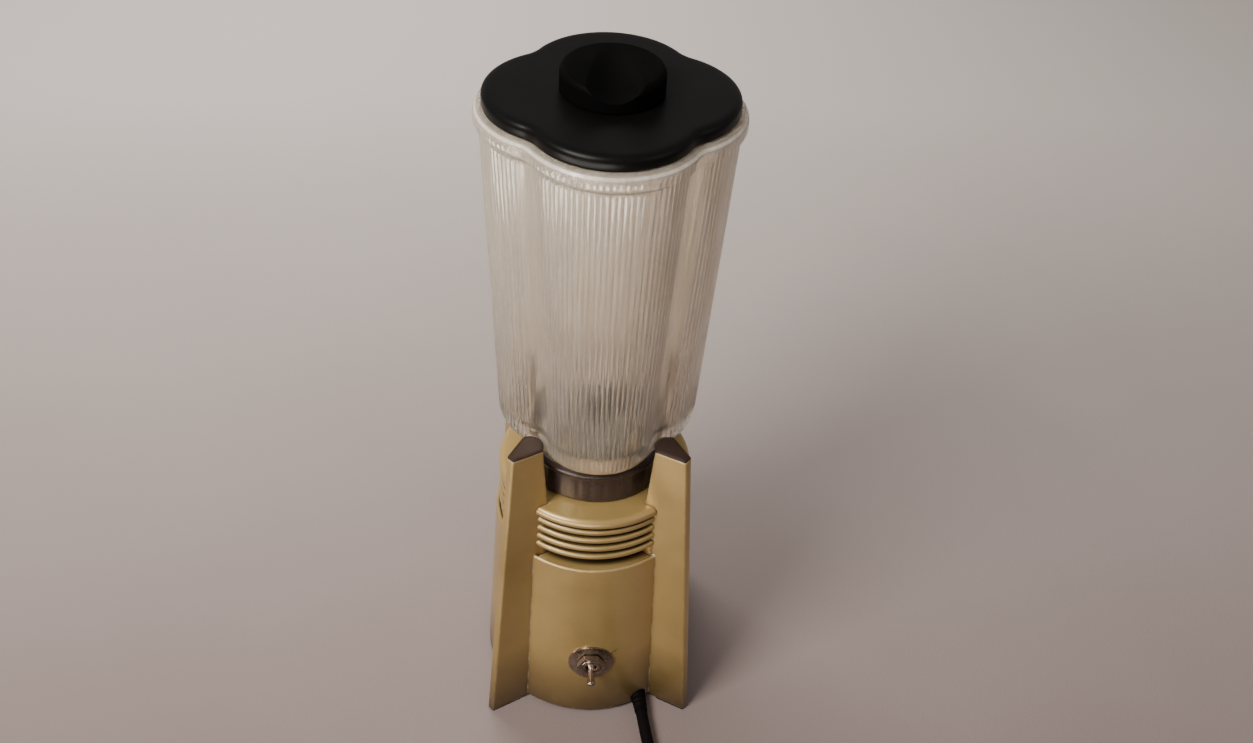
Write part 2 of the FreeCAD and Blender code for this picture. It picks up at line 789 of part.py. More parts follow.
def make_stator():
    low = size.stator_height
    ring = tube("stator_ring_solid", size.stator_radius, size.stator_radius - size.stator_ring,
                size.stack_length, 0, 0, low)
    pole = box("stator_poles", size.pole_width, 2 * (size.stator_radius - size.stator_ring / 2),
               size.stack_length, 0, 0, low)
    bore = cylinder("stator_bore", size.armature_radius + size.air_gap, size.stack_length, 0, 0, low)
    holes = [cylinder(f"stator_bolt_hole_{side + 1}", size.bolt_radius + size.bolt_clearance,
                      size.stack_length, size.bolt_reach * side, 0, low) for side in (-1, 1)]
    subpart(cut("stator_core", fuse("stator_solid", [ring, pole]), [bore] + holes), "stator_core")
    middle = (size.armature_radius + size.air_gap + size.stator_radius - size.stator_ring) / 2 - 0.8
    for side, name in ((-1, "field_coil_front"), (1, "field_coil_rear")):
        outer = box(f"{name}_outer", size.pole_width + 9, 3.4, size.stack_length + 12, 0, middle * side, low - 6)
        inner = box(f"{name}_inner", size.pole_width + 0.6, 5, size.stack_length + 0.6, 0, middle * side, low - 0.3)
        subpart(cut(name, outer, [inner]), name)


def make_rotor():
    low = size.stator_height
    subpart(cylinder("rotor_shaft", size.shaft_radius, shaft_top - size.shaft_foot, 0, 0, size.shaft_foot),
            "rotor_shaft")
    stack = tube("armature_stack", size.armature_radius, size.shaft_radius, size.stack_length, 0, 0, low)
    slots = [box(f"armature_slot_{index}", 7, 2.2, size.stack_length, size.armature_radius - 2.5, 0, low,
                 index * 360.0 / ARMATURE_SLOTS) for index in range(ARMATURE_SLOTS)]
    subpart(cut("armature_core", stack, slots), "armature_core")
    turns = []
    for name, foot in (("low", low - size.end_turn_length), ("high", low + size.stack_length)):
        turns.append(tube(f"end_turns_{name}", size.armature_radius - 3.5, size.shaft_radius + 3,
                          size.end_turn_length, 0, 0, foot))
    subpart(gather("armature_winding", turns), "armature_winding")
    subpart(tube("commutator", size.commutator_radius, size.shaft_radius, size.commutator_length, 0, 0,
                 size.commutator_height), "commutator")
    hub = tube("fan_hub", 9.0, size.shaft_radius, size.fan_depth, 0, 0, size.fan_height)
    disc = tube("fan_disc", size.fan_radius, 8.0, 1.2, 0, 0, size.fan_height)
    blades = [box(f"fan_vane_{index}", size.fan_radius - 8.5, 1.2, size.fan_depth,
                  (size.fan_radius + 8.5) / 2, 0, size.fan_height, index * 360.0 / FAN_BLADES)
              for index in range(FAN_BLADES)]
    subpart(fuse("cooling_fan", [hub, disc] + blades), "cooling_fan")
    low = driving_top - size.coupling_disc
    disc = tube("driving_disc", size.coupling_radius, size.shaft_radius, size.coupling_disc, 0, 0, low)
    prongs = [box(f"driving_prong_{angle}", size.coupling_radius - size.prong_reach, size.prong_side,
                  size.prong_height + 1, (size.coupling_radius + size.prong_reach) / 2 - 0.3, 0,
                  driving_top - 1, angle) for angle in AXIS_ANGLES]
    subpart(fuse("drive_coupling", [disc] + prongs), "drive_coupling")


def make_brushes():
    middle = size.commutator_height + size.commutator_length / 2
    tip = size.commutator_radius + size.brush_gap
    side_length = size.brush_side
    for side, name in ((-1, "left"), (1, "right")):
        centre = (tip + size.brush_length / 2) * side
        foot = middle - side_length / 2
        subpart(box(f"brush_{name}", size.brush_length, side_length, side_length, centre, 0, foot),
                f"brush_{name}")
        start = tip + size.brush_length
        base = start * side
        turned = ALONG_X if side > 0 else BACK_ALONG_X
        subpart(tube(f"brush_spring_{name}", side_length / 2 - 0.2, side_length / 2 - 0.9,
                     size.spring_length, base, 0, middle, turned), f"brush_spring_{name}")
        holder_length = size.brush_length + size.spring_length - 0.4
        holder_centre = (tip + 2.0 + holder_length / 2) * side
        outer = box(f"holder_outer_{name}", holder_length, side_length + 4, side_length + 4,
                    holder_centre, 0, foot - 2)
        bore = box(f"holder_bore_{name}", holder_length - 1.6, side_length + 0.2, side_length + 0.2,
                   holder_centre - 0.8 * side, 0, foot - 0.1)
        leg_low = size.bar_height + size.bar_thickness
        leg = box(f"holder_leg_{name}", 8, side_length + 4, foot - 2 - leg_low + 0.5, holder_centre, 0, leg_low)
        subpart(cut(f"brush_holder_{name}", fuse(f"holder_solid_{name}", [outer, leg]), [bore]),
                f"brush_holder_{name}")


# ---------------------------------------------------------------- toggle switch

def make_switch():
    height = size.switch_height
    wall = shell_radius(height)
    behind = shell_radius(height + size.switch_length / 2) - size.shell_wall - 1.4
    subpart(box("switch_body", size.switch_width, size.switch_depth, size.switch_length, 0,
                -(behind - size.switch_depth / 2), height - size.switch_length / 2), "switch_body")
    reach = wall + size.bushing_reach
    subpart(tube("switch_bushing", size.bushing_radius, size.bushing_bore, reach - behind, 0, -behind,
                 height, TOWARDS_FRONT), "switch_bushing")
    disc = cylinder("washer_disc", size.washer_radius, 40, 0, -(wall - 15), height, TOWARDS_FRONT)
    layer = size.washer_thickness
    lean = shell_radius(height - size.nut_corner_radius) - wall + 0.03
    outside = cone("washer_outside", shell_radius(Dim.of(0)) + layer, shell_radius(size.shell_rim_height) + layer,
                   size.shell_rim_height)
    inside = cone("washer_inside", shell_radius(Dim.of(0)), shell_radius(size.shell_rim_height),
                  size.shell_rim_height)
    hole = cylinder("washer_hole", size.bushing_radius + 0.1, 60, 0, -(wall - 20), height, TOWARDS_FRONT)
    subpart(cut("switch_washer", common("washer_layer", disc, outside), [inside, hole]), "switch_washer")
    nut = document.addObject("Part::Prism", "nut_prism")
    nut.Polygon = 6
    bind(nut, "Circumradius", size.nut_corner_radius)
    bind(nut, "Height", size.nut_thickness)
    nut_back = wall + layer + lean
    place(nut, 0, -nut_back, height, TOWARDS_FRONT)
    nut_hole = cylinder("nut_hole", size.bushing_radius, size.nut_thickness + 2, 0, -(nut_back - 1),
                        height, TOWARDS_FRONT)
    subpart(cut("switch_nut", nut, [nut_hole]), "switch_nut")
    pivot = -(reach - size.lever_ball_radius)
    down = Rotation(Vector(1, 0, 0), 90 + LEVER_REST_ANGLE)
    knuckle = ball("lever_ball", size.lever_ball_radius, 0, pivot, height)
    shaft_length = size.lever_length - size.lever_tip_radius
    shaft = cone("lever_shaft", 1.5, size.lever_tip_radius, shaft_length, 0, pivot, height, down)
    cosine = math.cos(math.radians(LEVER_REST_ANGLE))
    sine = math.sin(math.radians(LEVER_REST_ANGLE))
    tip = ball("lever_tip", size.lever_tip_radius, 0, pivot - shaft_length * cosine,
               height - shaft_length * sine)
    pin = cylinder("lever_pin", size.lever_pin_radius, 2 * size.lever_pin_half, -size.lever_pin_half,
                   pivot, height, TOWARDS_RIGHT)
    subpart(fuse("switch_lever", [knuckle, pin, shaft, tip]), "switch_lever")


# ---------------------------------------------------------------- jar

def lobed_wire(height, centre, reach, fillet):
    """Four lobe circles on the X and Y axes joined by hollow fillets: eight tangent arcs."""
    lobe = reach - centre
    middle = centre * HALF_ROOT
    depth = middle + math.sqrt(middle ** 2 - centre ** 2 + (lobe + fillet) ** 2)
    hollow = Vector(depth * HALF_ROOT, depth * HALF_ROOT, height)
    first_lobe = Vector(centre, 0, height)
    join = first_lobe + (hollow - first_lobe) * (lobe / (lobe + fillet))
    mirrored = Vector(join.y, join.x, height)
    edges = []
    for angle in AXIS_ANGLES:
        turn = about_z(angle)
        start = turn.multVec(Vector(join.x, -join.y, height))
        edges.append(Part.Arc(start, turn.multVec(Vector(reach, 0, height)), turn.multVec(join)).toShape())
        valley = (depth - fillet) * HALF_ROOT
        edges.append(Part.Arc(turn.multVec(join), turn.multVec(Vector(valley, valley, height)),
                              turn.multVec(mirrored)).toShape())
    return Part.Wire(edges)


def make_glass_jar():
    foot_reach, foot_centre = size.jar_foot_reach.number, size.jar_foot_centre.number
    top_reach, top_centre = size.jar_top_reach.number, size.jar_top_centre.number
    foot_fillet, top_fillet = size.jar_foot_fillet.number, size.jar_top_fillet.number
    wall = size.glass_wall.number
    neck = size.neck_radius.number
    low, high = jar_body_foot.number, size.jar_height.number
    shoulder = shoulder_foot.number
    rise = size.shoulder_height.number
    bead = size.bead_proud.number
    bead_low = high - size.bead_height.number

    def body_section(height, grow):
        share = (height - low) / (high - low)
        centre = foot_centre + (top_centre - foot_centre) * share
        reach = foot_reach + (top_reach - foot_reach) * share
        fillet = foot_fillet + (top_fillet - foot_fillet) * share
        return lobed_wire(height, centre, reach + grow, fillet - grow)

    def shoulder_section(height, share, grow):
        """Between the round neck and the lobed body; share runs from 0 at the neck to 1."""
        centre = 6.0 + (foot_centre - 6.0) * share
        reach = neck + 3.0 + (foot_reach - neck - 3.0) * share
        fillet = 22.0 + (foot_fillet - 22.0) * share
        return lobed_wire(height, centre, reach + grow, fillet - grow)

    outer = Part.makeLoft([shoulder_section(shoulder, 0.0, 0.0), shoulder_section(shoulder + 0.25 * rise, 0.55, 0.0),
                           shoulder_section(shoulder + 0.6 * rise, 0.88, 0.0), body_section(low, 0.0),
                           body_section(bead_low, 0.0), body_section(bead_low + 3, bead),
                           body_section(high - 2, bead), body_section(high, bead - 2)], True, True)
    inner_low = shoulder + wall
    inner = Part.makeLoft([shoulder_section(inner_low, 0.0, -wall - 3.0),
                           shoulder_section(inner_low + 0.3 * rise, 0.6, -wall),
                           body_section(low + 2, -wall), body_section(high, -wall)], True, True)
    neck_outer = Part.makeCylinder(neck, shoulder - neck_foot.number + 1, Vector(0, 0, neck_foot.number))
    bore = Part.makeCylinder(neck - wall, inner_low - neck_foot.number + 1, Vector(0, 0, neck_foot.number))
    shape = outer.fuse(neck_outer).cut(inner).cut(bore)
    jar = document.addObject("Part::Feature", "glass_jar")
    jar.Shape = shape.removeSplitter()
    jar.Placement = Placement()
    subpart(jar, "glass_jar")


def make_collar_and_blades():
    bore = size.neck_radius + size.thread_clearance
    outer = bore + size.collar_wall
    top = collar_foot + size.collar_height
    collar = revolved("collar_turned", [
        (bore - 6, collar_foot), (outer - 1.0, collar_foot), (outer, collar_foot + 1.5),
        (outer, top - 3.0), (outer + 0.9, top - 2.0), (outer + 0.9, top), (bore, top),
        (bore, carrier_foot), (bore - 6, carrier_foot)])
    subpart(collar, "jar_collar")
    bush_bore = size.blade_shaft_radius + size.running_clearance
    subpart(tube("blade_carrier", size.neck_radius, size.bush_radius, size.carrier_thickness, 0, 0,
                 carrier_foot), "blade_carrier")
    subpart(tube("jar_gasket", size.neck_radius, size.neck_radius - size.glass_wall, size.gasket_thickness,
                 0, 0, gasket_foot), "jar_gasket")
    bush_low = carrier_foot - 3.0
    barrel = tube("bush_barrel", size.bush_radius, bush_bore, size.bush_length, 0, 0, bush_low)
    flange = tube("bush_flange", size.bush_radius + 3, bush_bore, 2.0, 0, 0, gasket_foot)
    subpart(fuse("blade_bush", [barrel, flange]), "blade_bush")
    blade_low = bush_low + size.bush_length + 0.6
    disc_low = driving_top + size.prong_height + size.coupling_gap
    subpart(cylinder("blade_shaft", size.blade_shaft_radius, blade_low + 8 - disc_low, 0, 0, disc_low),
            "blade_shaft")
    disc_height = bush_low - 0.6 - disc_low
    disc = tube("driven_disc", size.coupling_radius, size.blade_shaft_radius, disc_height, 0, 0, disc_low)
    prongs = [box(f"driven_prong_{angle}", size.coupling_radius - size.prong_reach, size.prong_side,
                  size.prong_height + 1, (size.coupling_radius + size.prong_reach) / 2 - 0.3, 0,
                  driving_top + size.coupling_gap, angle + 45) for angle in AXIS_ANGLES]
    subpart(fuse("driven_coupling", [disc] + prongs), "driven_coupling")
    for name, turn, foot, rise in (("blade_lower", 0, blade_low, -1), ("blade_upper", 90, blade_low + 1.5, 1)):
        subpart(bent_blade(name, turn, foot, rise), name)
    nut = document.addObject("Part::Prism", "blade_nut_prism")
    nut.Polygon = 6
    bind(nut, "Circumradius", size.blade_shaft_radius + 3)
    bind(nut, "Height", 4.0)
    place(nut, 0, 0, blade_low + 3.0)
    dome = cone("blade_nut_dome", size.blade_shaft_radius + 1.6, size.blade_shaft_radius - 1.5, 4.0,
                0, 0, blade_low + 7.0)
    hole = cylinder("blade_nut_hole", size.blade_shaft_radius, 5.0, 0, 0, blade_low + 3.0)
    subpart(cut("blade_nut", fuse("blade_nut_solid", [nut, dome]), [hole]), "blade_nut")


def bent_blade(name, turn, foot, rise):
    """A strip whose two ends are bent up or down, drilled for the shaft."""
    flat = 9.0
    lift = size.blade_rise * rise
    thickness = size.blade_thickness
    reach = size.blade_reach
    body = new_body(f"{name}_strip")
    sketch = polygon_sketch(body, f"{name}_side", "XZ_Plane", [
        (-reach, foot + lift), (-flat, foot), (flat, foot), (reach, foot + lift),
        (reach, foot + lift + thickness), (flat, foot + thickness), (-flat, foot + thickness),
        (-reach, foot + lift + thickness)])
    pad = body.newObject("PartDesign::Pad", f"{name}_pad")
    pad.Profile = sketch
    bind(pad, "Length", size.blade_width)
    pad.SideType = "Symmetric"
    body.Placement = Placement(Vector(0, 0, 0), about_z(turn))
    hole = cylinder(f"{name}_hole", size.blade_shaft_radius, 8.0, 0, 0, foot - 3)
    return cut(name, body, [hole])


# ---------------------------------------------------------------- lid

def make_lid():
    """The lobed plate with a rounded top edge, a skirt inside the jar's mouth and a filler hole."""
    foot, top = lid_foot.number, lid_top.number
    reach, centre, fillet = size.lid_reach.number, size.lid_centre.number, size.lid_fillet.number
    plate = Part.Face(lobed_wire(foot, centre, reach, fillet)).extrude(Vector(0, 0, top - foot))
    rim = [edge for edge in plate.Edges if abs(edge.CenterOfMass.z - top) < 1e-6]
    plate = plate.makeFillet(size.lid_round.number, rim)
    inside = size.jar_top_reach.number - size.glass_wall.number - size.skirt_clearance.number
    spread = size.jar_top_fillet.number + size.glass_wall.number + size.skirt_clearance.number
    jar_centre = size.jar_top_centre.number
    depth = size.skirt_depth.number
    wall = size.skirt_wall.number
    slack = 0.5
    skirt = Part.Face(lobed_wire(foot - depth, jar_centre, inside - slack, spread + slack))
    skirt = skirt.extrude(Vector(0, 0, depth))
    hollow = Part.Face(lobed_wire(foot - depth, jar_centre, inside - slack - wall, spread + slack + wall))
    hollow = hollow.extrude(Vector(0, 0, depth))
    hole = Part.makeCylinder(size.filler_radius.number + size.filler_clearance.number, top - foot,
                             Vector(0, 0, foot))
    lid = document.addObject("Part::Feature", "lid")
    lid.Shape = plate.fuse(skirt.cut(hollow)).cut(hole).removeSplitter()
    lid.Placement = Placement()
    subpart(lid, "lid")


def make_filler_cap():
    """A round boss with a thumb scoop through its front edge and a hollow plug below."""
    top = lid_top + size.lid_gap
    crown = top + size.boss_height
    plug_bore = size.filler_radius - size.plug_wall
    turned = revolved("cap_turned", [
        (plug_bore, top - size.plug_depth), (size.filler_radius, top - size.plug_depth),
        (size.filler_radius, top), (size.boss_radius, top), (size.boss_radius, crown),
        (Dim.of(0), crown), (Dim.of(0), top), (plug_bore, top)])
    round_edges(turned, "cap_round", size.boss_round, lambda edge: is_circle(edge, size.boss_radius, crown))
    behind = 60.0
    slope = math.radians(SCOOP_SLOPE)
    lift = size.scoop_radius / math.cos(slope) + behind * math.tan(slope)
    scoop = cylinder("cap_scoop", size.scoop_radius, 90, 0, behind - size.boss_radius,
                     top + size.scoop_sill + lift, Rotation(Vector(1, 0, 0), 90 + SCOOP_SLOPE))
    subpart(cut("filler_cap", turned, [scoop]), "filler_cap")


# ---------------------------------------------------------------- mains lead

# the lead's route on the table, from the strain relief to the coil, and from the coil to the plug
LEAD_ROUTE = [(31.46, -64.82, 5.4), (32.76, -75.74, 5.4), (34.6, -88.0, 4.4), (38.4, -104.0, 3.6),
              (43.6, -119.0, 3.9), (45.0, -132.0, 4.5)]
TAIL_ROUTE = [(-12.0, -188.5, 11.5), (-23.0, -188.5, 11.3), (-38.5, -188.5, 7.1), (-49.5, -188.5, 7.1)]
COIL_CENTRE = (3.0, -146.5)
COIL_INNER, COIL_OUTER = 24.5, 45.5
COIL_FOOT, COIL_SHOULDER, COIL_TOP = 1.0, 15.0, 22.0
COIL_STEP = 6.5
ARC_SHARE = 0.45


def swept_cord(name, route):
    """A round tube along straight runs joined by tangent arcs as large as the runs allow."""
    points = [Vector(*point) for point in route]
    radius = size.cord_radius.number
    edges = []
    cursor = points[0]
    for before, corner, after in zip(points, points[1:], points[2:]):
        inward = (before - corner).normalize()
        outward = (after - corner).normalize()
        shorter = min((before - corner).Length, (after - corner).Length)
        half_turn = (math.pi - inward.getAngle(outward)) / 2
        reach = ARC_SHARE * shorter
        bend = reach / math.tan(half_turn)
        print(f"{name}: bend radius {bend:.0f} mm")
        start = corner + inward * reach
        end = corner + outward * reach
        toward = (inward + outward).normalize()
        middle = corner + toward * (bend / math.cos(half_turn) - bend)
        edges.append(Part.LineSegment(cursor, start).toShape())
        edges.append(Part.Arc(start, middle, end).toShape())
        cursor = end
    edges.append(Part.LineSegment(cursor, points[-1]).toShape())
    path = Part.Wire(edges)
    heading = points[1] - points[0]
    section = Part.Wire(Part.makeCircle(radius, points[0], heading))
    shape = path.makePipeShell([section], True, False)
    expected = math.pi * radius ** 2 * path.Length
    assert abs(shape.Volume / expected - 1) < 0.01, f"{name} volume"
    print(f"{name}: length {path.Length:.1f} mm")
    cord = document.addObject("Part::Feature", name)
    cord.Shape = shape
    cord.Placement = Placement()
    subpart(cord, name)


def make_cord():
    sleeve = along_lead("gland_sleeve", size.gland_radius, size.gland_radius, Dim.of(0), size.gland_length)
    taper = along_lead("gland_taper", size.gland_radius, size.relief_tip_radius, size.gland_length,
                       size.relief_length)
    head_radius = size.gland_radius + 0.4
    head = along_lead("gland_head", head_radius, head_radius, Dim.of(0), 2.5)
    subpart(fuse("cord_gland", [sleeve, taper, head]), "cord_gland")
    swept_cord("cord_lead", LEAD_ROUTE)
    swept_cord("cord_tail", TAIL_ROUTE)
    coil = revolved("coil_turned", [
        (COIL_INNER, COIL_FOOT), (COIL_OUTER, COIL_FOOT), (COIL_OUTER, COIL_SHOULDER),
        (COIL_OUTER - COIL_STEP, COIL_TOP), (COIL_INNER + COIL_STEP, COIL_TOP), (COIL_INNER, COIL_SHOULDER)])
    coil.Placement = Placement(Vector(COIL_CENTRE[0], COIL_CENTRE[1], 0), Rotation())
    subpart(coil, "cord_coil")
    band = 1.0
    slack = 0.2
    middle = COIL_CENTRE[0] - (COIL_INNER + COIL_OUTER) / 2
    span = COIL_OUTER - COIL_INNER
    outer = box("tie_outer", span + 2 * band, 6, COIL_TOP + band, middle, COIL_CENTRE[1])
    inner = box("tie_inner", span + 2 * slack, 8, COIL_TOP - COIL_FOOT + 2 * slack, middle,
                COIL_CENTRE[1], COIL_FOOT - slack)
    subpart(cut("cord_tie", outer, [inner]), "cord_tie")
    make_plug(*TAIL_ROUTE[-1])


def make_plug(x, y, z):
    """A moulded two-blade plug whose boot meets the end of the lead, pointing to -X."""
    boot_length, shell_length, blade_length = 8.0, 20.0, 16.0
    blade_spacing, blade_thickness, blade_height = 12.7, 1.5, 6.3
    boot = cone("plug_boot", 4.2, 6.0, boot_length, x, y, z, BACK_ALONG_X)
    shell = box("plug_shell", shell_length, 20, 2 * (z - 0.1), x - boot_length + 1 - shell_length / 2, y, 0.1)
    subpart(fuse("plug_body", [shell, boot]), "plug_body")
    nose = x - boot_length + 1 - shell_length
    blades = [box(f"plug_blade_{side + 1}", blade_length, blade_thickness, blade_height,
                  nose - blade_length / 2, y + side * blade_spacing / 2, z - blade_height / 2)
              for side in (-1, 1)]
    subpart(gather("plug_blades", blades), "plug_blades")


# ---------------------------------------------------------------- build, check and write

def check_and_write():
    document.recompute()
    for item in document.Objects:
        if "Invalid" in item.State or "Error" in item.State:
            raise SystemExit(f"{item.Label} did not build: {item.State}")
    labels = [item.Label for item in subparts]
    if len(set(labels)) != len(labels):
        raise SystemExit("two sub-parts share a label")
    os.makedirs("parts", exist_ok=True)
    for item in subparts:
        shape = item.Shape
        if shape.isNull() or not shape.isValid():
            raise SystemExit(f"{item.Label} has no valid shape")
        if not shape.Solids:
            raise SystemExit(f"{item.Label} has no solid")
        shape.exportStep(f"parts/{item.Label}.step")
        bounds = shape.BoundBox
        print(f"{item.Label}: {len(shape.Solids)} solid(s), {shape.Volume / 1000:.2f} cm3, "
              f"z {bounds.ZMin:.1f} to {bounds.ZMax:.1f}")
    print(f"{len(subparts)} sub-parts")


make_base_housing()
make_bottom_plate()
make_feet()
make_cushions()
make_vent_housing()
make_brackets()
make_stator()
make_rotor()
make_brushes()
make_switch()
make_glass_jar()
make_collar_and_blades()
make_lid()
make_filler_cap()
make_cord()
check_and_write()
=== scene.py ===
import logging
import math
from dataclasses import dataclass
from enum import Enum

import bpy
import numpy as np
from mathutils import Matrix, Vector


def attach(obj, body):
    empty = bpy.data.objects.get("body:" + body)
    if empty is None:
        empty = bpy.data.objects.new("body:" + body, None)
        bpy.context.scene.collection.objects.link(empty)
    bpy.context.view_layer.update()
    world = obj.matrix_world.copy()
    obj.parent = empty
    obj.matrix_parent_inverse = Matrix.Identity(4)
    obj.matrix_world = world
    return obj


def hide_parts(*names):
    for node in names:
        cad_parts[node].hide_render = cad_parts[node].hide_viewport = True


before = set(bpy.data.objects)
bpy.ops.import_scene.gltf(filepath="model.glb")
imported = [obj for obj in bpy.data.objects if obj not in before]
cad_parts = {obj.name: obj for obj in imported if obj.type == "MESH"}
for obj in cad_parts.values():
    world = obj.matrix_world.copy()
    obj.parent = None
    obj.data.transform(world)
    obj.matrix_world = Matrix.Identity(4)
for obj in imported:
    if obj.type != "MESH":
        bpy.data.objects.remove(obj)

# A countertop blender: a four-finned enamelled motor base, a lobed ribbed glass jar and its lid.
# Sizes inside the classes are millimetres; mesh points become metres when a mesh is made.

LOG = logging.getLogger("blender_part")
MM = 0.001
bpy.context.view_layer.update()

# how much of half a quarter of the lobed outline is the lobe's arc; the rest is the hollow's
LOBE_SHARE = 0.82
# which sockets of a colour Mix node take its two colours, and which one gives the result
MIX_FIRST, MIX_SECOND, MIX_RESULT = 6, 7, 2

Socket = bpy.types.NodeSocket
Item = bpy.types.Object
Array = np.ndarray
Pair = tuple[float, float]
Triple = tuple[float, float, float]
Colour = tuple[int, int, int]


# ---- names

class Body(Enum):
    """The rigid bodies that new pieces ride on."""

    BASE = "base"
    LEVER = "lever"
    JAR = "jar"
    LID = "lid"
    CAP = "cap"


class Slot(Enum):
    """Material slot names that new pieces are passed with, though nothing reads them."""

    CHROME = "chrome_metal"
    GLASS = "clear_glass"
    COLLAR = "brown_plastic"
    LID = "lid_plastic"
    CORD = "cord_rubber"
    DARK = "dark_plastic"


# ---- colour and node building

def linear(red: int, green: int, blue: int) -> tuple[float, float, float, float]:
    """Turn a display colour into a scene-linear one.

    Args:
        red: Red, 0 to 255.
        green: Green, 0 to 255.
        blue: Blue, 0 to 255.

    Returns:
        Linear red, green, blue and an alpha of 1.
    """
    shares = np.array([red, green, blue]) / 255.0
    values = np.where(shares <= 0.04045, shares / 12.92, ((shares + 0.055) / 1.055) ** 2.4)
    return (float(values[0]), float(values[1]), float(values[2]), 1.0)


class Shader:
    """A material being put together around one Principled surface."""

    def __init__(self, name: str) -> None:
        """Start an empty material with a surface, an output and Object coordinates."""
        self.material = bpy.data.materials.new(name)
        self.material.use_nodes = True
        self.tree = self.material.node_tree
        self.tree.nodes.clear()
        output = self._add("ShaderNodeOutputMaterial")
        self.surface = self._add("ShaderNodeBsdfPrincipled")
        self._feed(output.inputs[0], self.surface.outputs[0])
        self.place = self._add("ShaderNodeTexCoord").outputs["Object"]

    def _feed(self, target: Socket, value: object) -> None:
        """Link a socket to another node's output, or set its value."""
        if isinstance(value, Socket):
            self.tree.links.new(value, target)
        else:
            target.default_value = value

    def _add(self, kind: str, **inputs: object) -> bpy.types.ShaderNode:
        """Add a node and feed its inputs, an underscore in a name standing for a space."""
        node = self.tree.nodes.new(kind)
        for name, value in inputs.items():
            self._feed(node.inputs[name.replace("_", " ")], value)
        return node

    def set(self, socket: str, value: object) -> None:
        """Put a number, a colour or another node's output on one of the surface's sockets."""
        self._feed(self.surface.inputs[socket], value)

    def noise(self, scale: float, detail: float = 3.0, stretch: Triple = (1, 1, 1),
              roughness: float = 0.55) -> Socket:
        """Cloudy noise on Object coordinates.

        Args:
            scale: Features per metre.
            detail: Octaves.
            stretch: How much finer the noise is along each axis.
            roughness: Weight of the finer octaves.

        Returns:
            A value around 0.5.
        """
        mapping = self._add("ShaderNodeMapping", Scale=stretch, Vector=self.place)
        noise = self._add("ShaderNodeTexNoise", Scale=scale, Detail=detail, Roughness=roughness,
                          Vector=mapping.outputs[0])
        return noise.outputs["Fac"]

    def remap(self, value: Socket, low: float, high: float, out_low: float = 0.0,
              out_high: float = 1.0) -> Socket:
        """Stretch a value from one span to another, held at both ends."""
        node = self._add("ShaderNodeMapRange", Value=value, From_Min=low, From_Max=high, To_Min=out_low,
                         To_Max=out_high)
        return node.outputs["Result"]

    def math(self, operation: str, first: object, second: object = 0.0) -> Socket:
        """One arithmetic step on two values."""
        node = self._add("ShaderNodeMath")
        node.operation = operation
        self._feed(node.inputs[0], first)
        self._feed(node.inputs[1], second)
        return node.outputs[0]

    def times(self, first: object, second: object) -> Socket:
        """The product of two values."""
        return self.math("MULTIPLY", first, second)

    def mix(self, factor: object, first: object, second: object) -> Socket:
        """Blend two colours, each a display colour or another node's output."""
        node = self._add("ShaderNodeMix", Factor=factor)
        node.data_type = "RGBA"
        for socket, value in ((MIX_FIRST, first), (MIX_SECOND, second)):
            self._feed(node.inputs[socket], value if isinstance(value, Socket) else linear(*value))
        return node.outputs[MIX_RESULT]

    def height(self) -> Socket:
        """Height above the table, in metres."""
        return self.axes()[2]

    def axes(self) -> tuple[Socket, Socket, Socket]:
        """The three Object coordinates, in metres."""
        node = self._add("ShaderNodeSeparateXYZ", Vector=self.place)
        return node.outputs["X"], node.outputs["Y"], node.outputs["Z"]

    def crevices(self, distance: float) -> Socket:
        """How shut in a point is: 0 in the open, towards 1 in grooves and inside corners."""
        node = self._add("ShaderNodeAmbientOcclusion", Distance=distance)
        node.samples = 6
        node.only_local = True
        return self.math("SUBTRACT", 1.0, node.outputs["AO"])

    def streak(self, start: Pair, end: Pair, width: float, front: Pair) -> Socket:
        """A straight scratch on the front: 1 on its line, 0 away from it, past its ends and at the back.

        The distance from the line is |n . p - c|.

        Args:
            start: Its first end, x and z in metres.
            end: Its second end.
            width: Distance from the line at which it has gone.
            front: The y between which it fades out.

        Returns:
            How much of the scratch shows.
        """
        x, y, z = self.axes()
        along = np.subtract(end, start)
        length = float(np.hypot(*along))
        dx, dz = (float(value) / length for value in along)
        place = self.math("ADD", self.times(x, dx), self.times(z, dz))
        across = self.math("SUBTRACT", self.times(x, dz), self.times(z, dx))
        first = start[0] * dx + start[1] * dz
        level = start[0] * dz - start[1] * dx
        off = self.math("ABSOLUTE", self.math("SUBTRACT", across, level))
        body = self.remap(off, width * 0.5, width, 1.0, 0.0)
        middle = self.math("ABSOLUTE", self.math("SUBTRACT", place, first + length / 2))
        ends = self.remap(middle, length * 0.35, length * 0.5, 1.0, 0.0)
        ahead = self.remap(y, *front, 1.0, 0.0)
        return self.times(self.times(body, ends), ahead)

    def squared_radius(self) -> Socket:
        """x^2 + y^2, the distance from the motor's axis squared, in square metres."""
        x, y, _ = self.axes()
        return self.math("ADD", self.times(x, x), self.times(y, y))

    def rounded_normal(self, radius: float) -> Socket:
        """The normal as it would be with every edge rounded to a radius, in metres."""
        node = self._add("ShaderNodeBevel", Radius=radius)
        node.samples = 4
        return node.outputs["Normal"]

    def edges(self, rounded: Socket) -> Socket:
        """How far the rounded normal turns from the true one: 0 on flats, rising at edges."""
        dot = self._add("ShaderNodeVectorMath")
        dot.operation = "DOT_PRODUCT"
        self._feed(dot.inputs[0], rounded)
        self._feed(dot.inputs[1], self._add("ShaderNodeNewGeometry").outputs["True Normal"])
        return self.math("SUBTRACT", 1.0, dot.outputs["Value"])

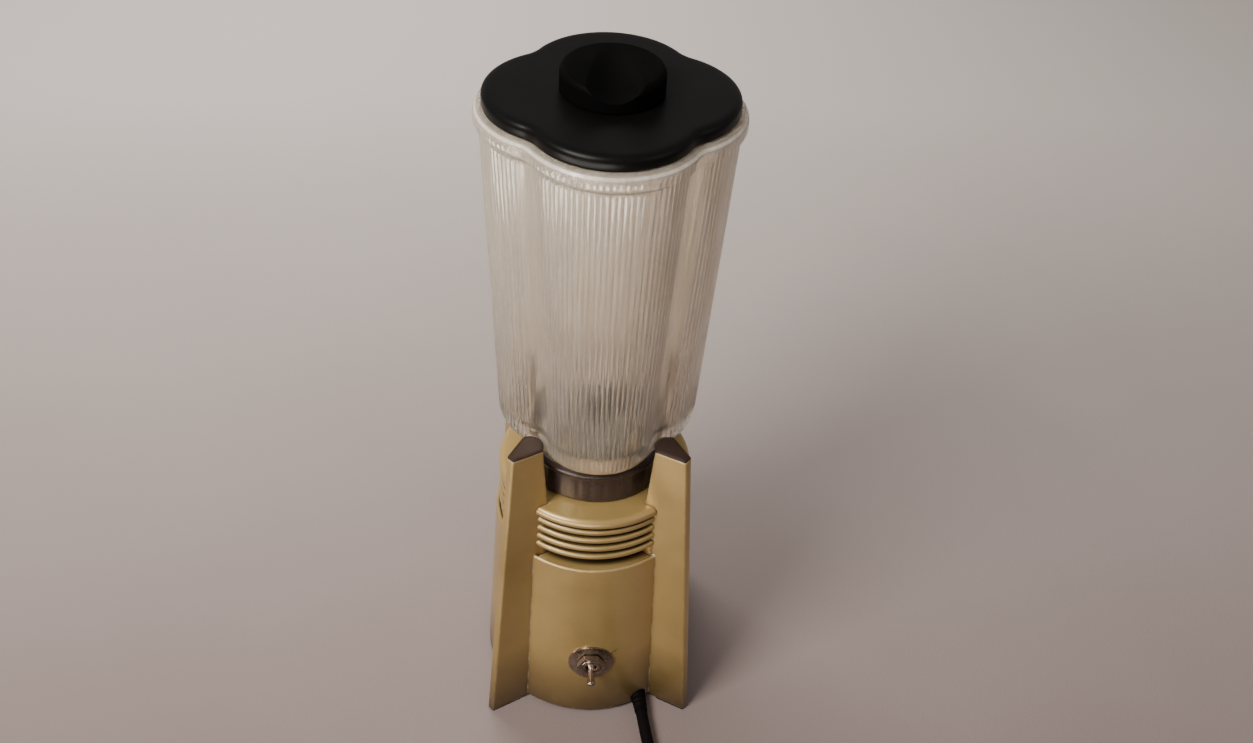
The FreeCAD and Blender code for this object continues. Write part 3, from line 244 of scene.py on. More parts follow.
    def bump(self, height: Socket, distance: float, normal: Socket | None = None) -> Socket:
        """Tilt the normal by a height field whose full range is a distance in metres."""
        node = self._add("ShaderNodeBump", Strength=1.0, Distance=distance, Height=height)
        if normal is not None:
            self._feed(node.inputs["Normal"], normal)
        return node.outputs["Normal"]


# ---- finishes

@dataclass(frozen=True)
class Coating:
    """A look that a piece can be given.

    Attributes:
        name: The look's name.
    """

    name: str

    def paint(self, shader: Shader) -> None:
        """Set the surface's sockets.

        Args:
            shader: The empty material.
        """
        raise NotImplementedError

    def material(self) -> bpy.types.Material:
        """Make the material, once.

        Returns:
            The material, shared by every piece with this look.
        """
        title = f"{self.name}_finish"
        known = bpy.data.materials.get(title)
        if known is None:
            shader = Shader(title)
            self.paint(shader)
            known = shader.material
        return known


@dataclass(frozen=True)
class Finish(Coating):
    """A moulded, painted or plain surface with blotches, a fine grain and worn edges.

    Attributes:
        colour: Main colour.
        shade: Colour of the blotches and dirt.
        metallic: 0 for paint and plastic, 1 for bare metal.
        roughness: Lowest and highest roughness.
        blotch: Blotches per metre.
        grain: Grains per metre.
        relief: Depth of the grain in metres.
        stretch: How the grain is drawn out along each axis.
        worn: Colour that shows where edges are rubbed, or None.
        edge: Radius of the soft edges in metres, 0 for none.
        coat: Weight of a clear gloss on top.
        specular: Strength of the plain reflection.
    """

    colour: Colour
    shade: Colour
    metallic: float = 0.0
    roughness: Pair = (0.4, 0.55)
    blotch: float = 35.0
    grain: float = 900.0
    relief: float = 0.00003
    stretch: Triple = (1.0, 1.0, 1.0)
    worn: Colour | None = None
    edge: float = 0.0006
    coat: float = 0.0
    specular: float = 0.5

    def colours(self, shader: Shader) -> Socket:
        """Main colour with soft blotches of the shade and a finer speckle."""
        blotches = shader.remap(shader.noise(self.blotch, 4.0), 0.35, 0.75)
        speckle = shader.remap(shader.noise(self.grain * 0.3, 2.0, self.stretch), 0.3, 0.8, 0.0, 0.35)
        return shader.mix(shader.math("MAXIMUM", blotches, speckle), self.colour, self.shade)

    def paint(self, shader: Shader) -> None:
        """Set the colour, the gloss, the soft or rubbed edges and the grain."""
        colour = self.colours(shader)
        normal = None
        if self.edge > 0.0:
            normal = shader.rounded_normal(self.edge)
            if self.worn is not None:
                rubbed = shader.remap(shader.edges(normal), 0.02, 0.20)
                patchy = shader.remap(shader.noise(160.0, 5.0), 0.42, 0.62)
                colour = shader.mix(shader.times(rubbed, patchy), colour, self.worn)
        shader.set("Base Color", colour)
        shader.set("Metallic", self.metallic)
        rough = shader.noise(self.blotch * 2.2, 5.0)
        shader.set("Roughness", shader.remap(rough, 0.3, 0.7, *self.roughness))
        shader.set("Coat Weight", self.coat)
        shader.set("Coat Roughness", 0.12)
        shader.set("Specular IOR Level", self.specular)
        fine = shader.noise(self.grain, 3.0, self.stretch)
        shader.set("Normal", shader.bump(fine, self.relief, normal))


@dataclass(frozen=True)
class Enamel(Finish):
    """Metallic enamel on a casting: darker towards the foot, with painted shade in every corner and in the
    gap under the rings, chipped and scratched.

    Attributes:
        foot_tone: Colour the enamel turns towards the foot.
        painted_shade: Colour of the painted shade in corners, grooves and the gap under the rings.
        bare: Colour under chips and scratches.
        foot: Heights between which the darkening towards the foot fades out, in metres.
        groove: How far a crevice reaches.
        gap_shade_radii: Squared radii between which the painted shade inside the gap under the rings fades
            out.
        gap_shade_heights: Heights between which that painted shade fades out.
        scratch: The long scratch's ends, x and z.
    """

    foot_tone: Colour = (62, 44, 28)
    painted_shade: Colour = (38, 25, 15)
    bare: Colour = (84, 62, 40)
    foot: Pair = (0.002, 0.050)
    groove: float = 0.005
    gap_shade_radii: Pair = (0.00226, 0.00255)
    gap_shade_heights: Pair = (0.1275, 0.1300)
    scratch: tuple[Pair, Pair] = ((0.0065, 0.0485), (0.0160, 0.0555))
    scratch_width: float = 0.0005
    scratch_front: Pair = (-0.052, -0.050)

    def colours(self, shader: Shader) -> Socket:
        """Soft blotches, darker towards the foot, painted shade in corners, grooves and the gap under the
        rings, dark chips and one long scratch.
        """
        # darker towards the foot, in blotches
        height_ramp = shader.remap(shader.height(), *self.foot, 0.92, 0.0)
        height_ramp = shader.times(height_ramp, shader.remap(shader.noise(40.0, 3.0), 0.2, 0.7, 0.75, 1.0))
        colour = shader.mix(height_ramp, super().colours(shader), self.foot_tone)
        # painted shade: darker in corners and grooves, by how shut in each point is
        corners = shader.remap(shader.crevices(self.groove), 0.22, 0.56, 0.0, 0.94)
        colour = shader.mix(corners, colour, self.painted_shade)
        # painted shade: dark inside the gap under the vent rings, where little light reaches
        inside = shader.remap(shader.squared_radius(), *self.gap_shade_radii, 0.88, 0.0)
        gap = shader.times(inside, shader.remap(shader.height(), *self.gap_shade_heights, 1.0, 0.0))
        colour = shader.mix(gap, colour, self.painted_shade)
        chips = shader.remap(shader.noise(210.0, 6.0, roughness=0.7), 0.72, 0.75)
        line = shader.streak(*self.scratch, self.scratch_width, self.scratch_front)
        line = shader.times(line, 0.8)
        return shader.mix(shader.math("MAXIMUM", chips, line), colour, self.bare)


@dataclass(frozen=True)
class PressedGlass(Coating):
    """Pressed glass: warm, its tint streaked from top to bottom as painted light from its ribs, with a
    painted brightening towards the top, cloudy patches and a painted highlight line under the rim.

    Attributes:
        tint: Its colour.
        painted_streak_tint: Its colour along the painted streak pattern that stands in for the light through
            the ribs.
        height_ramp: Heights between which the glass turns milkier towards the top, a painted brightening, in
            metres.
        rim_highlight_foot: Heights over which the painted highlight line under the rim sets in.
        rim_highlight_top: Heights over which it ends.
        relief: Depth of the streak pattern's bumps in metres.
    """

    name: str = "pressed_glass"
    tint: Colour = (255, 249, 238)
    painted_streak_tint: Colour = (238, 226, 208)
    height_ramp: Pair = (0.215, 0.350)
    rim_highlight_foot: Pair = (0.3744, 0.3748)
    rim_highlight_top: Pair = (0.3756, 0.3760)
    relief: float = 0.00010

    def paint(self, shader: Shader) -> None:
        """Set the glass clear, made milkier towards the top as painted light, cloudy in patches, and with a
        painted highlight line under its rim.
        """
        height = shader.height()
        lines = shader.remap(shader.noise(420.0, 2.0, (1.0, 1.0, 0.015)), 0.40, 0.64)
        cloud = shader.remap(shader.noise(30.0, 3.0, (1.0, 1.0, 0.35)), 0.35, 0.7)
        # painted light: a streaky tint stands in for the light the ribs throw
        shader.set("Base Color", shader.mix(lines, self.tint, self.painted_streak_tint))
        # painted light: the glass turns milkier, and so brighter, towards the top
        milky_and_lit = shader.remap(height, *self.height_ramp, 0.02, 0.18)
        milky_and_lit = shader.math("ADD", milky_and_lit, shader.times(cloud, 0.08))
        # painted highlight: a thin pale line just under the rim
        line = shader.times(shader.remap(height, *self.rim_highlight_foot),
                            shader.remap(height, *self.rim_highlight_top, 1.0, 0.0))
        milky_and_lit = shader.math("ADD", milky_and_lit, shader.times(line, 0.4))
        shader.set("Transmission Weight", shader.math("SUBTRACT", 1.0, milky_and_lit))
        shader.set("Roughness", shader.remap(lines, 0.0, 1.0, 0.07, 0.22))
        shader.set("IOR", 1.5)
        shader.set("Normal", shader.bump(lines, self.relief))


GOLD_ENAMEL = Enamel("gold_enamel", (184, 155, 97), (164, 136, 82), metallic=0.35,
                     roughness=(0.30, 0.40), blotch=16.0, grain=1400.0, relief=0.000012,
                     worn=(232, 220, 196), edge=0.0014, coat=0.35)
CUSHION_RUBBER = Finish("cushion_rubber", (56, 38, 31), (42, 28, 23), roughness=(0.34, 0.50),
                        grain=1100.0, edge=0.0026, specular=0.35)
BLACK_RUBBER = Finish("black_rubber", (30, 28, 27), (44, 41, 38), roughness=(0.6, 0.8),
                      relief=0.00005)
NICKEL = Finish("nickel_plate", (180, 164, 150), (122, 104, 90), metallic=1.0,
                roughness=(0.22, 0.36), blotch=90.0, grain=1500.0, relief=0.000003, edge=0.0003)
COLLAR_PLASTIC = Finish("collar_plastic", (70, 55, 51), (54, 42, 39), roughness=(0.22, 0.36),
                        relief=0.00001, edge=0.0, coat=0.12, specular=0.35)
LID_PLASTIC = Finish("lid_plastic", (14, 13, 13), (9, 9, 9), roughness=(0.30, 0.40),
                     blotch=24.0, grain=1300.0, relief=0.000006, edge=0.0, specular=0.15)
CAP_PLASTIC = Finish("cap_plastic", (9, 8, 8), (5, 5, 5), roughness=(0.55, 0.66),
                     blotch=40.0, grain=1300.0, relief=0.000008, edge=0.0, specular=0.04)
CORD_JACKET = Finish("cord_jacket", (9, 6, 8), (15, 11, 12), roughness=(0.50, 0.65),
                     grain=1500.0, relief=0.00002, edge=0.0, specular=0.08)
DARK_MOULDING = Finish("dark_moulding", (34, 31, 29), (52, 46, 41), roughness=(0.5, 0.7),
                       relief=0.00004)
ZINC_PLATE = Finish("zinc_plate", (168, 166, 158), (120, 116, 104), metallic=1.0,
                    roughness=(0.3, 0.5), grain=1600.0, relief=0.00001, stretch=(1.0, 1.0, 6.0))
STAINLESS = Finish("stainless", (186, 186, 184), (150, 149, 146), metallic=1.0,
                   roughness=(0.2, 0.36), grain=1500.0, relief=0.000008, stretch=(1.0, 8.0, 1.0))
CAST_ALUMINIUM = Finish("cast_aluminium", (176, 176, 174), (140, 139, 135), metallic=0.9,
                        roughness=(0.45, 0.62), grain=700.0, relief=0.00006)
BRONZE = Finish("bearing_bronze", (176, 134, 78), (118, 84, 44), metallic=1.0,
                roughness=(0.25, 0.45), relief=0.00001, edge=0.0003)
COPPER = Finish("wound_copper", (178, 96, 54), (112, 56, 32), metallic=0.85,
                roughness=(0.28, 0.5), relief=0.00012, stretch=(1.0, 1.0, 9.0), edge=0.001)
LAMINATION = Finish("lamination_stack", (96, 96, 98), (64, 60, 56), metallic=0.8,
                    roughness=(0.4, 0.6), grain=1800.0, relief=0.00005, stretch=(0.05, 0.05, 4.0))
CARBON = Finish("pressed_carbon", (44, 44, 46), (28, 28, 30), roughness=(0.5, 0.7))
GLASS = PressedGlass()

# the frame pieces that keep their own mesh, by finish
CAD_FINISHES: tuple[tuple[Finish, str], ...] = (
    (GOLD_ENAMEL, "base_housing vent_housing"),
    (ZINC_PLATE, "bottom_plate plate_screws vent_screws motor_bolts rotor_shaft"),
    (CAST_ALUMINIUM, "motor_bracket_upper motor_bracket_lower"),
    (BRONZE, "upper_bearing lower_bearing brush_spring_left brush_spring_right plug_blades"),
    (LAMINATION, "stator_core armature_core"),
    (COPPER, "field_coil_front field_coil_rear armature_winding commutator"),
    (CARBON, "brush_left brush_right"),
    (DARK_MOULDING, "cooling_fan brush_holder_left brush_holder_right switch_body"),
    (BLACK_RUBBER, "drive_coupling driven_coupling jar_gasket rubber_foot_1 rubber_foot_2 rubber_foot_3 "
                   "rubber_foot_4"),
    (NICKEL, "switch_bushing switch_washer switch_nut"),
    (STAINLESS, "blade_carrier blade_bush blade_shaft blade_lower blade_upper blade_nut"),
    (CUSHION_RUBBER, "jar_cushion_1 jar_cushion_2 jar_cushion_3 jar_cushion_4"),
)


def dress(item: Item, finish: Coating) -> None:
    """Give a piece one finish all over."""
    item.data.materials.clear()
    item.data.materials.append(finish.material())


def dress_frame() -> None:
    """Give every frame piece that keeps its own mesh its finish."""
    for finish, nodes in CAD_FINISHES:
        for node in nodes.split():
            dress(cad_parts[node], finish)
        LOG.info("%s: %s", finish.name, nodes)


def add_object(name: str, data: bpy.types.ID) -> Item:
    """Put a mesh, curve, lamp or camera in the scene, at the origin, and return its object."""
    item = bpy.data.objects.new(name, data)
    bpy.context.scene.collection.objects.link(item)
    return item


# ---- surfaces

def signed_volume(points: Array, faces: list[list[int]]) -> float:
    """Volume enclosed by faces, positive when they point outwards.

    The sum over each face's fan of triangles of a . (b x c) / 6.
    """
    quads = np.array([face if len(face) == 4 else face + [face[2]] for face in faces])
    a, b, c, d = (points[quads[:, k]] for k in range(4))
    triples = np.sum(a * np.cross(b, c), axis=1) + np.sum(a * np.cross(c, d), axis=1)
    return float(triples.sum() / 6)


def surface(name: str, points: Array, closed_rows: bool = False, closed_columns: bool = True,
            cap_ends: bool = False, sharp: float = 38.0) -> Item:
    """Make a mesh from a grid of points, joined to its neighbours along rows and columns.

    Args:
        name: The object's name.
        points: Rows by columns by 3, in millimetres.
        closed_rows: Join the last row to the first.
        closed_columns: Join the last column to the first.
        cap_ends: Close the first and last row with a point at their middle.
        sharp: Edges that turn more than this many degrees stay crisp.

    Returns:
        The object, at the origin, with its normals outwards.
    """
    rows, columns = points.shape[:2]
    index = np.arange(rows * columns).reshape(rows, columns)
    row_next = np.roll(index, -1, axis=0) if closed_rows else index[1:]
    upper = index if closed_rows else index[:-1]
    column_slice = slice(None) if closed_columns else slice(0, -1)
    quads = np.stack([upper, np.roll(upper, -1, axis=1), np.roll(row_next, -1, axis=1), row_next], axis=-1)
    faces = quads[:, column_slice].reshape(-1, 4).tolist()
    vertices = points.reshape(-1, 3) * MM
    if cap_ends:
        middles = np.array([points[0].mean(axis=0), points[-1].mean(axis=0)]) * MM
        first, last = len(vertices), len(vertices) + 1
        vertices = np.vstack([vertices, middles])
        low, high = index[0], index[-1]
        faces += np.stack([np.roll(low, -1), low, np.full(columns, first)], axis=-1).tolist()
        faces += np.stack([high, np.roll(high, -1), np.full(columns, last)], axis=-1).tolist()
    if signed_volume(vertices, faces) < 0:
        faces = [face[::-1] for face in faces]
    mesh = bpy.data.meshes.new(name)
    mesh.from_pydata(vertices.tolist(), [], faces)
    mesh.polygons.foreach_set("use_smooth", np.ones(len(mesh.polygons), dtype=bool))
    mesh.set_sharp_from_angle(angle=math.radians(sharp))
    mesh.update()
    return add_object(name, mesh)


def install(item: Item, finish: Coating, body: Body, slot: Slot,
            *nodes: str) -> Item:
    """Dress a new piece, let it ride on its body and stand for its frame nodes.

    Args:
        item: The piece.
        finish: Its finish.
        body: The body it moves with.
        slot: Not used.
        nodes: The frame nodes it stands for.

    Returns:
        The piece.
    """
    dress(item, finish)
    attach(item, body.value)
    if nodes:
        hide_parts(*nodes)
    LOG.info("%s stands for %s", item.name, ", ".join(nodes) or "itself")
    return item


def angles(count: int) -> Array:
    """Evenly spaced angles of one full turn, in radians."""
    return np.arange(count) * (2 * math.pi / count)


def lathe(profile: Array, count: int) -> Array:
    """Turn a profile about Z: (r cos a, r sin a, z) for every profile point and angle.

    Args:
        profile: Radius and height of each point.
        count: Columns round the axis.

    Returns:
        A grid, profile points by columns by 3.
    """
    turn = angles(count)
    radius, height = profile[:, :1], profile[:, 1:2]
    flat = np.broadcast_to(height, (len(profile), count))
    return np.stack([radius * np.cos(turn), radius * np.sin(turn), flat], axis=-1)


def carried(points: Array, origin: Triple, along: Triple) -> Array:
    """Carry a shape made about +Z to an axis through origin that points along a direction.

    Args:
        points: Points in the shape's own frame.
        origin: Where its origin goes.
        along: Where its +Z goes.

    Returns:
        The moved points, same shape of array.
    """
    turn = np.array(Vector((0, 0, 1)).rotation_difference(Vector(along)).to_matrix())
    return points @ turn.T + np.array(origin)


def smooth_step(value: Array | float) -> Array:
    """0 below 0, 1 above 1, and 3x^2 - 2x^3 between."""
    held = np.clip(value, 0.0, 1.0)
    return held * held * (3.0 - 2.0 * held)


def lobed_outline(share: Array, centre: Array, reach: Array,
                  fillet: Array) -> tuple[Array, Array]:
    """A four-lobed outline: circles about four points on the X and Y axes, joined by hollow arcs.

    Each quarter runs from -1 to 1. Inside LOBE_SHARE it is the lobe's arc, centre + lobe (cos a, sin a);
    outside it is the hollow's arc about a point on the diagonal, hollow - fillet (cos b, sin b).
    The hollow's distance d from the axis solves (lobe + fillet)^2 = d^2 - sqrt(2) centre d + centre^2.

    Args:
        share: Place along the outline, 0 to 4, one lobe per unit, columns.
        centre: Distance of the lobe centres from the axis, per row.
        reach: Distance of the lobes' crowns from the axis, per row.
        fillet: Radius of the hollows, per row.

    Returns:
        Points and outward normals, each rows by columns by 2.
    """
    quarter = np.floor(share + 0.5)
    local = (share - quarter) * 2.0
    side = np.sign(local)
    centre, reach, fillet = (np.asarray(value, float)[:, None] for value in (centre, reach, fillet))
    lobe = reach - centre
    half = centre * math.sqrt(0.5)
    depth = half + np.sqrt(half ** 2 - centre ** 2 + (lobe + fillet) ** 2)
    hollow = depth * math.sqrt(0.5)
    join = np.arctan2(hollow, hollow - centre)
    lobe_angle = join * np.abs(local) / LOBE_SHARE
    sweep = (join - math.pi / 4) * np.clip((np.abs(local) - LOBE_SHARE) / (1.0 - LOBE_SHARE), 0.0, 1.0)
    hollow_angle = join - sweep
    on_lobe = np.abs(local) <= LOBE_SHARE
    x = np.where(on_lobe, centre + lobe * np.cos(lobe_angle), hollow - fillet * np.cos(hollow_angle))
    y = np.where(on_lobe, lobe * np.sin(lobe_angle), hollow - fillet * np.sin(hollow_angle))
    normal = np.where(on_lobe, lobe_angle, hollow_angle)
    y = y * side
    normal_x, normal_y = np.cos(normal), np.sin(normal) * side
    turn = quarter * math.pi / 2
    cosine, sine = np.cos(turn), np.sin(turn)
    points = np.stack([x * cosine - y * sine, x * sine + y * cosine], axis=-1)
    normals = np.stack([normal_x * cosine - normal_y * sine, normal_x * sine + normal_y * cosine], axis=-1)
    return points, normals


# ---- camera, light and floor

@dataclass(frozen=True)
class Lamp:
    """A rectangular lamp that faces a point and lights matt surfaces, shows in reflections, or both."""

    name: str
    place: Triple
    aim: Triple
    size: Pair
    power: float
    tone: Triple
    diffuse: bool = True
    glossy: bool = True

    def hang(self) -> None:
        """Put the lamp in the scene."""
        data = bpy.data.lights.new(self.name, "AREA")
        data.shape = "RECTANGLE"
        data.size, data.size_y = self.size
        data.energy = self.power
        data.color = self.tone
        lamp = add_object(self.name, data)
        turn = (Vector(self.aim) - Vector(self.place)).to_track_quat("-Z", "Y").to_matrix().to_4x4()
        lamp.matrix_world = Matrix.Translation(Vector(self.place)) @ turn
        lamp.visible_diffuse = self.diffuse
        lamp.visible_glossy = self.glossy


# a soft window high on the front left, a weak fill, a wide lamp behind and a low glint for the ribs
LAMPS = (
    Lamp("window", (-0.62, -0.55, 1.00), (0, 0, 0.30), (0.45, 0.45), 16.5, (1.0, 0.96, 0.89)),
    Lamp("fill", (1.2, -0.7, 0.9), (0, 0, 0.2), (1.0, 1.0), 2.0, (0.95, 0.96, 1.0)),
    Lamp("back", (-0.45, 1.10, 1.00), (0, 0.3, 0.15), (1.2, 0.6), 22.0, (1.0, 0.98, 0.94), glossy=False),
    Lamp("glint", (-0.26, -0.41, 0.01), (0, -0.06, 0.33), (0.70, 0.24), 7.5, (1.0, 0.95, 0.86),
         diffuse=False),
)


@dataclass
class Studio:
    """The camera, a plain pale floor and soft light.

    The camera's place and lens are millimetres, the nearest distance it sees and the y over
    which the floor's painted shade runs from dark to pale are metres.
    """

    eye: Triple = (-30.55, -522.97, 665.25)
    right: Triple = (0.99779, -0.04320, 0.05041)
    up: Triple = (-0.01021, 0.65046, 0.75947)
    ahead: Triple = (0.06560, 0.75831, -0.64859)
    lens: float = 37.37
    sensor: float = 36.0
    near: float = 0.01
    ambient: float = 0.42
    floor_half: float = 4000.0
    floor_shade_span: Pair = (-0.18, 0.72)

    def set_camera(self) -> None:
        """Place the camera and make it the scene's."""
        data = bpy.data.cameras.new("camera")
        data.lens = self.lens
        data.sensor_width = self.sensor
        data.sensor_fit = "HORIZONTAL"
        data.clip_start = self.near
        camera = add_object("camera", data)
        backwards = [-value for value in self.ahead]
        turn = Matrix([self.right, self.up, backwards]).transposed().to_4x4()
        camera.matrix_world = Matrix.Translation(Vector(self.eye) * MM) @ turn
        bpy.context.scene.camera = camera

    def light(self) -> None:
        """Hang the lamps and set the light from all around."""
        for lamp in LAMPS:
            lamp.hang()
        world = bpy.data.worlds.new("room")
        world.use_nodes = True
        background = world.node_tree.nodes["Background"]
        background.inputs["Color"].default_value = linear(214, 208, 206)
        background.inputs["Strength"].default_value = self.ambient
        bpy.context.scene.world = world

    def lay_floor(self) -> None:
        """A wide flat sheet under the part, painted darker towards the front as a stand-in for the fall-off
        of the light, with faint blotches and the weave of a plain cloth.
        """
        half = self.floor_half
        corners = np.array([[[-half, -half, 0.0], [half, -half, 0.0]],
                            [[-half, half, 0.0], [half, half, 0.0]]])
        floor = surface("floor", corners, closed_columns=False)
        shader = Shader("pale_floor")
        # painted shade: the floor darkens towards the front, standing in for the fall-off of the light
        depth = shader.remap(shader.axes()[1], *self.floor_shade_span)
        cloud = shader.times(shader.remap(shader.noise(3.0, 4.0), 0.3, 0.7), 0.08)
        shade = shader.math("ADD", depth, cloud)
        shader.set("Base Color", shader.mix(shade, (124, 107, 105), (190, 181, 176)))
        shader.set("Roughness", 0.85)
        shader.set("Specular IOR Level", 0.0)
        shader.set("Normal", shader.bump(shader.noise(500.0, 3.0), 0.0002))
        floor.data.materials.append(shader.material)

    def build(self) -> None:
        """Set the camera, the light and the floor."""
        self.set_camera()
        self.light()
        self.lay_floor()
        LOG.info("studio ready")


# ---- mains lead

@dataclass
class MainsLead:
    """The lead with its strain relief, the tied coil and the plug.

    Attributes:
        lead: Control points from the strain relief to the coil.
        tail: Control points from the coil to the plug.
        turns: Radius and level of each turn.
        stacked: How many of the turns the band goes round.
        slide: When a turn starts to slide to the next one's place, and for how long, as shares of it.
        gland_start: The middle of the strain relief's inner end.
        gland_heading: How far it points to the right of straight ahead, in degrees.
        gland_pitch: Distance between its rings.
    """

    radius: float = 3.5
    length: float = 1.745
    lead: tuple = ((31.46, -64.82, 5.4), (32.76, -75.74, 5.4), (34.6, -88.0, 4.4), (38.4, -104.0, 3.6),
                   (43.6, -119.0, 3.9), (45.0, -132.0, 4.5))
    tail: tuple = ((-12.0, -188.5, 11.5), (-23.0, -188.5, 11.3), (-38.5, -188.5, 7.1), (-49.5, -188.5, 7.1))
    centre: Pair = (3.0, -146.5)
    slide: Pair = (0.70, 0.26)
    stacked: int = 7
    turns: tuple = ((42.0, 4.5), (35.0, 4.5), (28.0, 4.5), (28.0, 11.5), (35.0, 11.5), (35.0, 18.5),
                    (42.0, 11.5), (42.0, 11.5))
    per_turn: int = 16
    gland_start: Triple = (28.5, -40.0, 5.4)
    gland_heading: float = 6.8
    gland_length: float = 25.0
    gland_pitch: float = 3.2

    def coil_points(self) -> Array:
        """Control points of the coiled turns.

        Turn t is at angle -360 t degrees. Its radius and level are those of turn floor(t), and slide
        to the next turn's over the last part of the turn. The radius is divided by cos(pi / n), so
        that the smooth line inside the control polygon has the wanted radius.
        """
        last = len(self.turns) - 1
        count = last * self.per_turn + self.per_turn // 4
        turned = np.arange(1, count) / self.per_turn
        whole = np.minimum(np.floor(turned).astype(int), last)
        following = np.minimum(whole + 1, last)
        slide = smooth_step((turned - whole - self.slide[0]) / self.slide[1])
        table = np.array(self.turns)
        ring = table[whole] + (table[following] - table[whole]) * slide[:, None]
        radius = ring[:, 0] / math.cos(math.pi / self.per_turn)
        angle = -2 * math.pi * turned
        return np.stack([self.centre[0] + radius * np.cos(angle), self.centre[1] + radius * np.sin(angle),
                         ring[:, 1]], axis=-1)

    def add_cord(self) -> Item:
        """One smooth line from the strain relief through the coil to the plug."""
        points = np.vstack([np.array(self.lead), self.coil_points(), np.array(self.tail)]) * MM
        curve = bpy.data.curves.new("mains_cord", "CURVE")
        curve.dimensions = "3D"
        curve.bevel_depth = self.radius * MM
        curve.bevel_resolution = 5
        curve.resolution_u = 8
        curve.use_fill_caps = True
        spline = curve.splines.new("NURBS")
        spline.points.add(len(points) - 1)
        weighted = np.hstack([points, np.ones((len(points), 1))])
        spline.points.foreach_set("co", weighted.ravel())
        spline.order_u = 3
        spline.use_endpoint_u = True
        item = add_object("mains_cord", curve)
        return install(item, CORD_JACKET, Body.BASE, Slot.CORD, "cord_lead", "cord_coil", "cord_tail")

    def add_gland(self) -> Item:
        """A tapered strain relief with shallow rings, about the line the lead leaves along."""
        distance = np.linspace(0.0, self.gland_length, 76)
        taper = np.interp(distance, [0.0, 2.5, 2.6, 11.0, self.gland_length], [5.15, 5.15, 4.75, 4.75, 3.85])
        waves = 0.5 + 0.5 * np.cos(distance * 2 * math.pi / self.gland_pitch)
        rings = 0.22 * waves * smooth_step((distance - 11.0) / 2.0)
        rings = rings * smooth_step((self.gland_length - distance) / 2.0)
        outside = np.stack([taper - rings, distance], axis=-1)
        inside = np.array([[3.55, self.gland_length], [3.55, 0.0]])
        heading = math.radians(self.gland_heading)
        grid = lathe(np.vstack([outside, inside]), 48)
        grid = carried(grid, self.gland_start, (math.sin(heading), -math.cos(heading), 0.0))
        item = surface("strain_relief", grid, closed_rows=True)
        return install(item, CORD_JACKET, Body.BASE, Slot.CORD, "cord_gland")

    def add_tie(self) -> Item:
        """A band pulled tight round the turns: at direction d, the furthest turn + (radius + gap) d."""
        turns = np.array(self.turns[:self.stacked])
        places = np.stack([self.centre[0] - turns[:, 0], turns[:, 1]], axis=-1)
        turn = angles(96)
        direction = np.stack([np.cos(turn), np.sin(turn)], axis=-1)
        furthest = places[np.argmax(direction @ places.T, axis=1)]
        gaps = self.radius + np.array([0.1, 0.95, 0.95, 0.1])
        across = np.array([-2.8, -2.8, 2.8, 2.8])
        ring = furthest[None] + direction[None] * gaps[:, None, None]
        depth = np.broadcast_to(across[:, None] + self.centre[1], ring.shape[:2])
        grid = np.stack([ring[..., 0], depth, np.maximum(ring[..., 1], 0.05)], axis=-1)
        item = surface("cord_tie_band", grid, closed_rows=True)
        return install(item, DARK_MOULDING, Body.BASE, Slot.DARK, "cord_tie")

    def add_plug(self) -> Item:
        """A moulded plug: rounded box sections along -X that narrow into the boot.

        Each section is |y / half width|^n + |z / half height|^n = 1, walked by angle.
        """
        x, y, z = self.tail[-1]
        reach = np.array([0.2, 0.4, 2.5, 4.2, 6.6, 8.0, 10.0, 13.4, 16.8, 20.2, 23.6, 26.0, 26.9, 27.0])
        wide = np.array([3.6, 4.2, 4.4, 4.8, 6.4, 8.6, 9.8, 9.0, 8.8, 9.4, 9.9, 9.9, 9.3, 8.6])
        high = np.array([3.6, 4.2, 4.4, 4.7, 5.6, 6.4, 6.9, 6.0, 5.8, 6.3, 6.9, 6.9, 6.4, 5.8])
        power = np.interp(reach, [0.0, 6.0, 12.0], [2.0, 2.2, 4.5])[:, None]
        turn = angles(72)
        cosine, sine = np.cos(turn), np.sin(turn)
        spread = (np.abs(cosine) ** power + np.abs(sine) ** power) ** (-1.0 / power)
        grid = np.stack([np.broadcast_to(x - reach[:, None], spread.shape),
                         y + wide[:, None] * spread * cosine, z + high[:, None] * spread * sine], axis=-1)
        item = surface("mains_plug", grid, cap_ends=True)
        return install(item, CORD_JACKET, Body.BASE, Slot.CORD, "plug_body")

    def build(self) -> None:
        """Make the lead, its strain relief, its tie and its plug."""
        cord = self.add_cord()
        self.add_gland()
        tie = self.add_tie()
        plug = self.add_plug()


# ---- toggle switch

